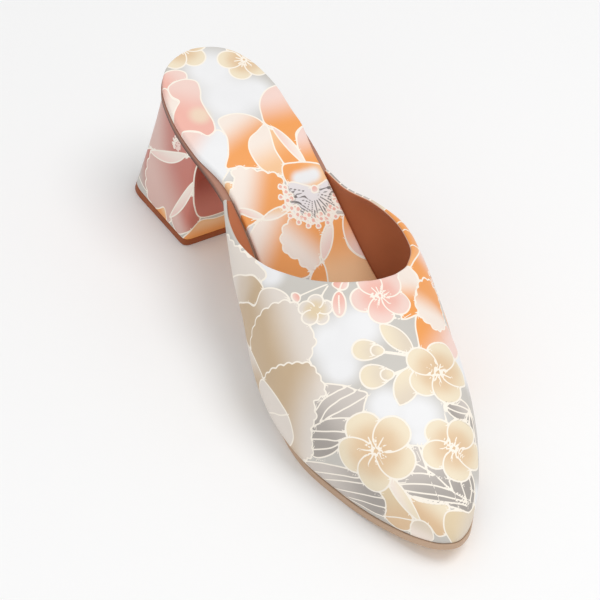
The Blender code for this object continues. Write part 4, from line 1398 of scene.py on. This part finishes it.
def carry(obj: bpy.types.Object, node: str | None) -> None:
    """Lets a piece ride on the shoe and stand for a solid, and logs its triangle count.

    Args:
        obj: The piece.
        node: Name of the solid it stands for, or None.
    """
    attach(obj, "root")
    if node:
        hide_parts(node)
    obj.data.calc_loop_triangles()
    LOG.info("%s: %d triangles", obj.name, len(obj.data.loop_triangles))


@dataclass
class Upper:
    """The vamp with its wings: printed outside, folded edge with a painted highlight, and lining inside."""

    last: Last
    steps: int = 540
    rows: int = 148
    rim_rows: int = 8
    lining_rows: int = 12
    pattern_steps: int = 80
    pattern_rows: int = 20
    pattern_rounds: int = 2000
    pattern_smoothing: int = 2

    def _normals(self, sheet: np.ndarray) -> np.ndarray:
        """Outward directions of the outer face."""
        normal = np.cross(np.gradient(sheet, axis=0), np.gradient(sheet, axis=1))
        return normal / np.maximum(np.linalg.norm(normal, axis=2, keepdims=True), TINY)

    def flat_pattern(self) -> np.ndarray:
        """The upper laid flat like a cutting pattern.

        The sections start fanned out at their true lengths, and the net of their crossings is then
        relaxed until its threads have their true lengths too.

        Returns:
            Coarse grid of flat points.
        """
        run = self.last.upper_run(self.pattern_steps)
        net = self.last.upper_sheet(run, self.pattern_rows)
        even = np.linspace(run[0], run[-1], 65)
        _, outward = self.last.edge_at(even)
        angle = np.unwrap(np.arctan2(outward[:, 1], outward[:, 0]))
        half, spread = 24, 8.0
        kernel = np.exp(-0.5 * (np.arange(-half, half + 1) / spread) ** 2)
        angle = np.convolve(np.pad(angle, half, mode="edge"), kernel / kernel.sum(), mode="valid")
        angle = np.interp(run, even, angle)
        way = np.column_stack([np.cos(angle), np.sin(angle)])
        length = np.linalg.norm(np.diff(net[:, ::-1], axis=1), axis=2)
        drop = np.concatenate([np.zeros((len(net), 1)), np.cumsum(length, axis=1)], axis=1)[:, ::-1]
        flat = net[:, -1:, :2] + way[:, None] * drop[..., None]
        links = [(np.s_[:-1, :], np.s_[1:, :]), (np.s_[:, :-1], np.s_[:, 1:]),
                 (np.s_[:-1, :-1], np.s_[1:, 1:]), (np.s_[1:, :-1], np.s_[:-1, 1:])]
        rest = [np.linalg.norm(net[q] - net[p], axis=2) for p, q in links]
        for far in (2, 4):
            links.append((np.s_[:, :-far], np.s_[:, far:]))
            rest.append(drop[:, :-far] - drop[:, far:])
        threads = np.zeros(flat.shape[:2])
        for p, q in links:
            threads[p] += 1
            threads[q] += 1
        drift, settle, momentum, slack = np.zeros_like(flat), 200, 0.8, 0.5
        for turn in range(self.pattern_rounds):
            move = np.zeros_like(flat)
            for (p, q), true in zip(links, rest):
                thread = flat[q] - flat[p]
                now = np.maximum(np.linalg.norm(thread, axis=2), TINY)
                pull = (0.5 * (now - true) / now)[..., None] * thread
                move[p] += pull
                move[q] -= pull
            drift = (momentum if turn >= settle else 0.0) * drift + slack * move / threads[..., None]
            flat = flat + drift
        return flat

    def chart(self) -> np.ndarray:
        """Reads the flat pattern as finely as the outer face.

        Returns:
            Grid of flat points, one for each point of the outer face.
        """
        flat = self.flat_pattern()
        for _ in range(self.pattern_smoothing):
            flat[1:-1] = (flat[:-2] + 2 * flat[1:-1] + flat[2:]) / 4
        for count in (self.steps, self.rows):
            knots = np.arange(len(flat), dtype=float)
            at = np.linspace(0, knots[-1], count + 1)
            fine = smooth_through(knots, flat.reshape(len(flat), -1), at)
            flat = fine.reshape(count + 1, flat.shape[1], 2).transpose(1, 0, 2)
        return flat

    def build(self) -> bpy.types.Object:
        """Models the upper: outside, rolled top edge, lining and underside in one closed shell.

        Returns:
            The finished piece.
        """
        last = self.last
        outer, chart = last.upper_sheet(last.upper_run(self.steps), self.rows), self.chart()
        inner = outer - self._normals(outer) * last.wall
        top, under = outer[:, -1], inner[:, -1]
        up = outer[:, -1] - outer[:, -2]
        up /= np.linalg.norm(up, axis=1)[:, None]
        turn = np.linspace(0, np.pi, self.rim_rows + 1)[1:-1]
        middle, across = (top + under) / 2, (top - under) / 2
        rim = [middle + across * math.cos(t) + up * math.sin(t) * last.wall / 2 for t in turn]
        keep = np.rint(np.linspace(self.rows, 0, self.lining_rows + 1)).astype(int)
        rings = np.concatenate([outer, np.stack(rim, axis=1), inner[:, keep]], axis=1)
        rest = rings.shape[1] - chart.shape[1]
        places = np.concatenate([chart, np.repeat(chart[:, -1:], rest, axis=1)], axis=1)
        canvas = printed(places.reshape(-1, 2), UPPER_PRINT)
        bands = np.full(rings.shape[1], 2)
        crest = self.rows + self.rim_rows // 2
        bands[:crest] = 0
        bands[crest] = 1
        loft = Loft("upper_leather", rings, last, (PRINTED_UPPER, RIM_HIGHLIGHT, LINING), bands)
        return loft.build(canvas)


@dataclass
class SolePlate:
    """A layer of the sole that follows its side view, as closed cross-sections from heel to toe."""

    last: Last
    lift: float
    thickness: float
    inset: float | None
    rows: int
    top_steps: int
    under_steps: int
    rounding: float
    side_steps: int = 6

    def rings(self) -> np.ndarray:
        """Draws the cross-sections.

        Returns:
            Rings of points, each from the medial bottom edge up, over the top and back underneath.
        """
        medial, lateral = self.last.edge_pairs(self.rows, self.inset)
        across = lateral - medial
        width = np.linalg.norm(across, axis=1)
        way = across / np.maximum(width, TINY)[:, None]
        turn = np.linspace(0, np.pi / 2, self.side_steps)
        side = [(0.0, 0.0), *((1 - math.cos(t), math.sin(t)) for t in turn)]
        rings = []
        for k in range(len(medial)):
            curl = min(self.rounding, 0.5 * width[k])
            foot = self.lift + self.last.rise(medial[k, :1])[0]
            outline = [(curl * a, self.thickness - self.rounding + self.rounding * b if i else 0.0)
                       for i, (a, b) in enumerate(side)]
            flat = np.linspace(curl, width[k] - curl, self.top_steps + 1)[1:-1]
            section = [*outline, *((s, self.thickness) for s in flat)]
            section += [(width[k] - a, b) for a, b in outline[::-1]]
            section += [(s, 0.0) for s in np.linspace(width[k], 0, self.under_steps + 1)[1:-1]]
            section = np.array(section)
            plan = medial[k] + way[k] * section[:, :1]
            rings.append(np.column_stack([plan, foot + section[:, 1]]))
        return np.array(rings)


@dataclass
class Footbed:
    """The insole under its printed sock."""

    last: Last
    rows: int = 580
    top_steps: int = 132
    under_steps: int = 8
    rounding: float = 1.2
    spine_points: int = 500

    def build(self) -> bpy.types.Object:
        """Models the footbed and prints it.

        Returns:
            The finished piece.
        """
        last = self.last
        plate = SolePlate(last, last.outsole_thickness + last.gap, last.insole_thickness, None,
                          self.rows, self.top_steps, self.under_steps, self.rounding)
        rings = plate.rings()
        spine = np.linspace(0, last.length, self.spine_points)
        length = path_length(np.column_stack([spine, last.rise(spine)]))
        flat = rings.reshape(-1, 3)
        canvas = printed(np.column_stack([np.interp(flat[:, 0], spine, length), flat[:, 1]]), INSOLE_PRINT)
        return Loft("footbed", rings, last, (PRINTED_SOCK,)).build(canvas)


@dataclass
class Outsole:
    """The moulded sheet sole: brown edge, tan face with fine wavy ribs."""

    last: Last
    rows: int = 960
    top_steps: int = 8
    under_steps: int = 52
    rounding: float = 0.4
    rib_pitch: float = 2.1
    rib_depth: float = 0.45
    rib_wave: float = 1.2
    rib_wavelength: float = 13.0
    tread: tuple[float, float] = (124.0, 243.0)
    waist_ribs: tuple[float, float] = (54.0, 68.0)
    rib_margin: float = 3.0
    rib_fade: float = 2.0
    groove_shade: float = 0.8
    seat_end: float = 95.0
    seat_shade_fade: float = 30.0

    def _ribs(self, rings: np.ndarray, first: int) -> np.ndarray:
        """Raises the grooves between the ribs on the underside.

        Args:
            rings: The sole's rings, changed in place.
            first: Place of the first underside point in a ring.

        Returns:
            How deep in a groove each point lies, 0 to 1.
        """
        under = rings[:, first:]
        x, y = under[..., 0], under[..., 1]
        phase = (x + self.rib_wave * np.sin(2 * np.pi * y / self.rib_wavelength)) / self.rib_pitch
        groove = 0.5 - 0.5 * np.cos(2 * np.pi * phase)
        zone = np.zeros_like(x)
        for start, end in (self.tread, self.waist_ribs):
            zone = np.maximum(zone, ease((x - start) / self.rib_fade) * ease((end - x) / self.rib_fade))
        room = np.minimum(y - y.min(axis=1, keepdims=True), y.max(axis=1, keepdims=True) - y)
        depth = np.zeros(rings.shape[:2])
        depth[:, first:] = groove * zone * ease((room - self.rib_margin) / self.rib_fade)
        rings[..., 2] += self.rib_depth * depth
        return depth

    def _edge(self, points: np.ndarray) -> np.ndarray:
        """Colours of the edge: tan in front, and at the heel seat darkened to brown with painted shade,
        darkest at its foot.

        Args:
            points: The rings' points above the underside.

        Returns:
            Their colours.
        """
        seat = ease((self.seat_end - points[..., :1]) / self.seat_shade_fade)
        up = (points[..., 2:] - points[:, :1, 2:]) / self.last.outsole_thickness
        # painted shadow line at the heel seat: the edge darkens to brown, darkest at its foot
        seam = blend(Tint.SEAT_FOOT.linear, Tint.SEAT_TOP.linear, up)
        return blend(Tint.SOLE_EDGE.linear, seam, seat)

    def build(self) -> bpy.types.Object:
        """Models the sole sheet.

        Returns:
            The finished piece.
        """
        plate = SolePlate(self.last, 0.0, self.last.outsole_thickness, 0.0, self.rows, self.top_steps,
                          self.under_steps, self.rounding)
        rings = plate.rings()
        first = rings.shape[1] - (self.under_steps - 1)
        depth = self._ribs(rings, first)
        bands = np.zeros(rings.shape[1], dtype=int)
        bands[first - 1:] = 1
        canvas = Canvas(rings.reshape(-1, 3)[:, :2])
        # painted shade: the grooves between the ribs are coloured darker than the face
        share = self.groove_shade * depth.reshape(-1, 1)
        canvas.fill = blend(Tint.SOLE_FACE.linear, Tint.SOLE_GROOVE.linear, share)
        canvas.fill.reshape(rings.shape)[:, :first] = self._edge(rings[:, :first])
        return Loft("sole_sheet", rings, self.last, (SOLE_EDGE, SOLE_FACE), bands).build(canvas)


@dataclass
class Heel:
    """The block heel under its printed cover."""

    last: Last
    levels: int = 92
    steps: int = 340

    def build(self) -> bpy.types.Object:
        """Models the heel and prints it.

        Returns:
            The finished piece.
        """
        last = self.last
        bottom = last.lift_thickness + last.gap
        seat = last.heel_section(1.0, self.steps)
        seat_z = last.heel_rise - last.seat_slope * seat[:, 0] - last.gap
        low = bottom / last.heel_rise
        rings, places = [], []
        for level in np.linspace(0, 1, self.levels + 1):
            plan = last.heel_section(low + (1 - low) * level, self.steps)
            height = bottom + (seat_z - bottom) * level
            rings.append(np.column_stack([plan, height]))
            run = path_length(np.vstack([plan, plan[:1]]))
            places.append(np.column_stack([run[:-1] - run[-1] / 2, height]))
        canvas = printed(np.concatenate(places), HEEL_PRINT)
        return Loft("heel_cover", np.array(rings), last, (PRINTED_HEEL,)).build(canvas)


@dataclass
class TopLift:
    """The wear piece under the heel, with softened edges."""

    last: Last
    steps: int = 200
    edge: float = 0.5
    bevel: float = 0.15

    def build(self) -> bpy.types.Object:
        """Models the lift.

        Returns:
            The finished piece.
        """
        last = self.last
        centre = np.array([0.5 * (last.base_back + last.base_front) * last.length, 0.0])
        rings = []
        turned = (0.0, self.edge), (self.bevel, self.bevel), (self.edge, 0.0)
        for z, inset in (*turned, *((last.lift_thickness - z, inset) for z, inset in turned[::-1])):
            plan = last.heel_section(z / last.heel_rise, self.steps)
            toward = centre - plan
            plan = plan + toward / np.linalg.norm(toward, axis=1)[:, None] * inset
            rings.append(np.column_stack([plan, np.full(len(plan), z)]))
        return Loft("lift", np.array(rings), last, (LIFT_RUBBER,)).build()


@dataclass
class SizeStamp:
    """The plain size number in a ring, moulded on the waist's underside."""

    last: Last
    number: str = "37"
    x: float = 79.0
    y: float = 4.0
    ring: float = 5.0
    thread: float = 0.35
    letter: float = 6.6
    sink: float = 0.12
    segments: tuple[int, int] = (64, 10)

    def _place(self, obj: bpy.types.Object) -> None:
        """Lays a flat piece, modelled round the origin, on the underside.

        Args:
            obj: The piece.
        """
        last, step = self.last, 1.0
        ends = last.rise(np.array([self.x - step, self.x + step]))
        slope = math.atan2(ends[1] - ends[0], 2 * step)
        foot = np.array([self.x, self.y, last.rise(np.array([self.x]))[0] - self.sink]) + last.origin
        turn = Matrix.Identity(4)
        for angle, axis in ((-slope, "Y"), (math.pi, "X"), (-math.pi / 2, "Z")):
            turn = turn @ Matrix.Rotation(angle, 4, axis)
        obj.data.transform(Matrix.Translation(Vector(foot * MM)) @ turn)
        obj.data.materials.clear()
        obj.data.materials.append(bpy.data.materials.get(STAMP.name) or STAMP.make())

    def build(self) -> list[bpy.types.Object]:
        """Models the ring and the number.

        Returns:
            Both pieces.
        """
        bpy.ops.object.select_all(action="DESELECT")
        bpy.ops.mesh.primitive_torus_add(major_radius=self.ring * MM, minor_radius=self.thread * MM,
                                         major_segments=self.segments[0], minor_segments=self.segments[1])
        ring = bpy.context.object
        ring.name = "size_ring"
        bpy.ops.object.shade_smooth()
        bpy.ops.object.select_all(action="DESELECT")
        bpy.ops.object.text_add()
        text = bpy.context.object
        text.data.body = self.number
        text.data.align_x, text.data.align_y = "CENTER", "CENTER"
        text.data.size = self.letter * MM
        text.data.extrude = self.thread * MM / 2
        bpy.ops.object.convert(target="MESH")
        number = bpy.context.object
        number.name = "size_number"
        for obj in (ring, number):
            self._place(obj)
        return [ring, number]


@dataclass
class Studio:
    """Plain pale floor, soft light and the camera at the photograph's angle.

    The camera's place and axes are in the last's frame; it is turned to face the shoe's middle.
    """

    last: Last
    eye: tuple[float, float, float] = (638.2, -337.4, 640.6)
    right: tuple[float, float, float] = (0.4345, 0.9006, -0.0079)
    aim: tuple[float, float, float] = (122.6, -11.9, 30.0)
    lens: float = 126.0
    sensor: float = 36.0
    floor_size: float = 6.0
    world_strength: float = 0.66
    lit: tuple[float, float, float] = (0.0, 0.0, 0.03)

    def _camera(self) -> None:
        """Stands the camera where the photograph was taken from."""
        eye, aim = np.array(self.eye), np.array(self.aim)
        back = (eye - aim) / np.linalg.norm(eye - aim)
        right = np.array(self.right) - back * np.dot(self.right, back)
        right /= np.linalg.norm(right)
        up = np.cross(back, right)
        data = bpy.data.cameras.new("camera")
        data.lens, data.sensor_width = self.lens, self.sensor
        data.sensor_fit = "HORIZONTAL"
        camera = bpy.data.objects.new("camera", data)
        turn = Matrix([[*row] for row in np.column_stack([right, up, back])]).to_4x4()
        camera.matrix_world = Matrix.Translation(Vector((eye + self.last.origin) * MM)) @ turn
        bpy.context.scene.collection.objects.link(camera)
        bpy.context.scene.camera = camera

    def _light(self, name: str, place: tuple[float, float, float], size: float, power: float) -> None:
        """Hangs a soft lamp that faces the shoe.

        Args:
            name: Name of the lamp.
            place: Where it hangs, in metres.
            size: Its width in metres.
            power: Its power in watts.
        """
        data = bpy.data.lights.new(name, "AREA")
        data.shape, data.size, data.energy = "DISK", size, power
        lamp = bpy.data.objects.new(name, data)
        lamp.location = place
        lamp.rotation_euler = (Vector(self.lit) - Vector(place)).to_track_quat("-Z", "Y").to_euler()
        bpy.context.scene.collection.objects.link(lamp)

    def _floor(self) -> None:
        """Lays a pale floor."""
        bpy.ops.object.select_all(action="DESELECT")
        bpy.ops.mesh.primitive_plane_add(size=self.floor_size)
        floor = bpy.context.object
        floor.name = "floor"
        floor.data.materials.append(PAPER.make())

    def build(self) -> None:
        """Sets up floor, light and camera."""
        scene = bpy.context.scene
        world = scene.world or bpy.data.worlds.new("studio")
        scene.world = world
        world.use_nodes = True
        ground = world.node_tree.nodes["Background"]
        ground.inputs["Color"].default_value = (1.0, 1.0, 1.0, 1.0)
        ground.inputs["Strength"].default_value = self.world_strength
        scene.view_settings.view_transform = "Standard"
        self._floor()
        self._light("key", place=(0.35, 0.40, 1.4), size=0.9, power=7.5)
        self._light("fill", place=(0.5, -0.9, 0.8), size=1.0, power=1.8)
        self._camera()


def main() -> None:
    """Builds the pieces in order, then the studio."""
    logging.basicConfig(level=logging.INFO, format="%(name)s: %(message)s")
    last = Last()
    carry(Upper(last).build(), "upper")
    carry(Footbed(last).build(), "insole")
    carry(Outsole(last).build(), "outsole")
    carry(Heel(last).build(), "heel_block")
    carry(TopLift(last).build(), "top_lift")
    for piece in SizeStamp(last).build():
        carry(piece, None)
    Studio(last).build()


if __name__ == "__main__":
    main()
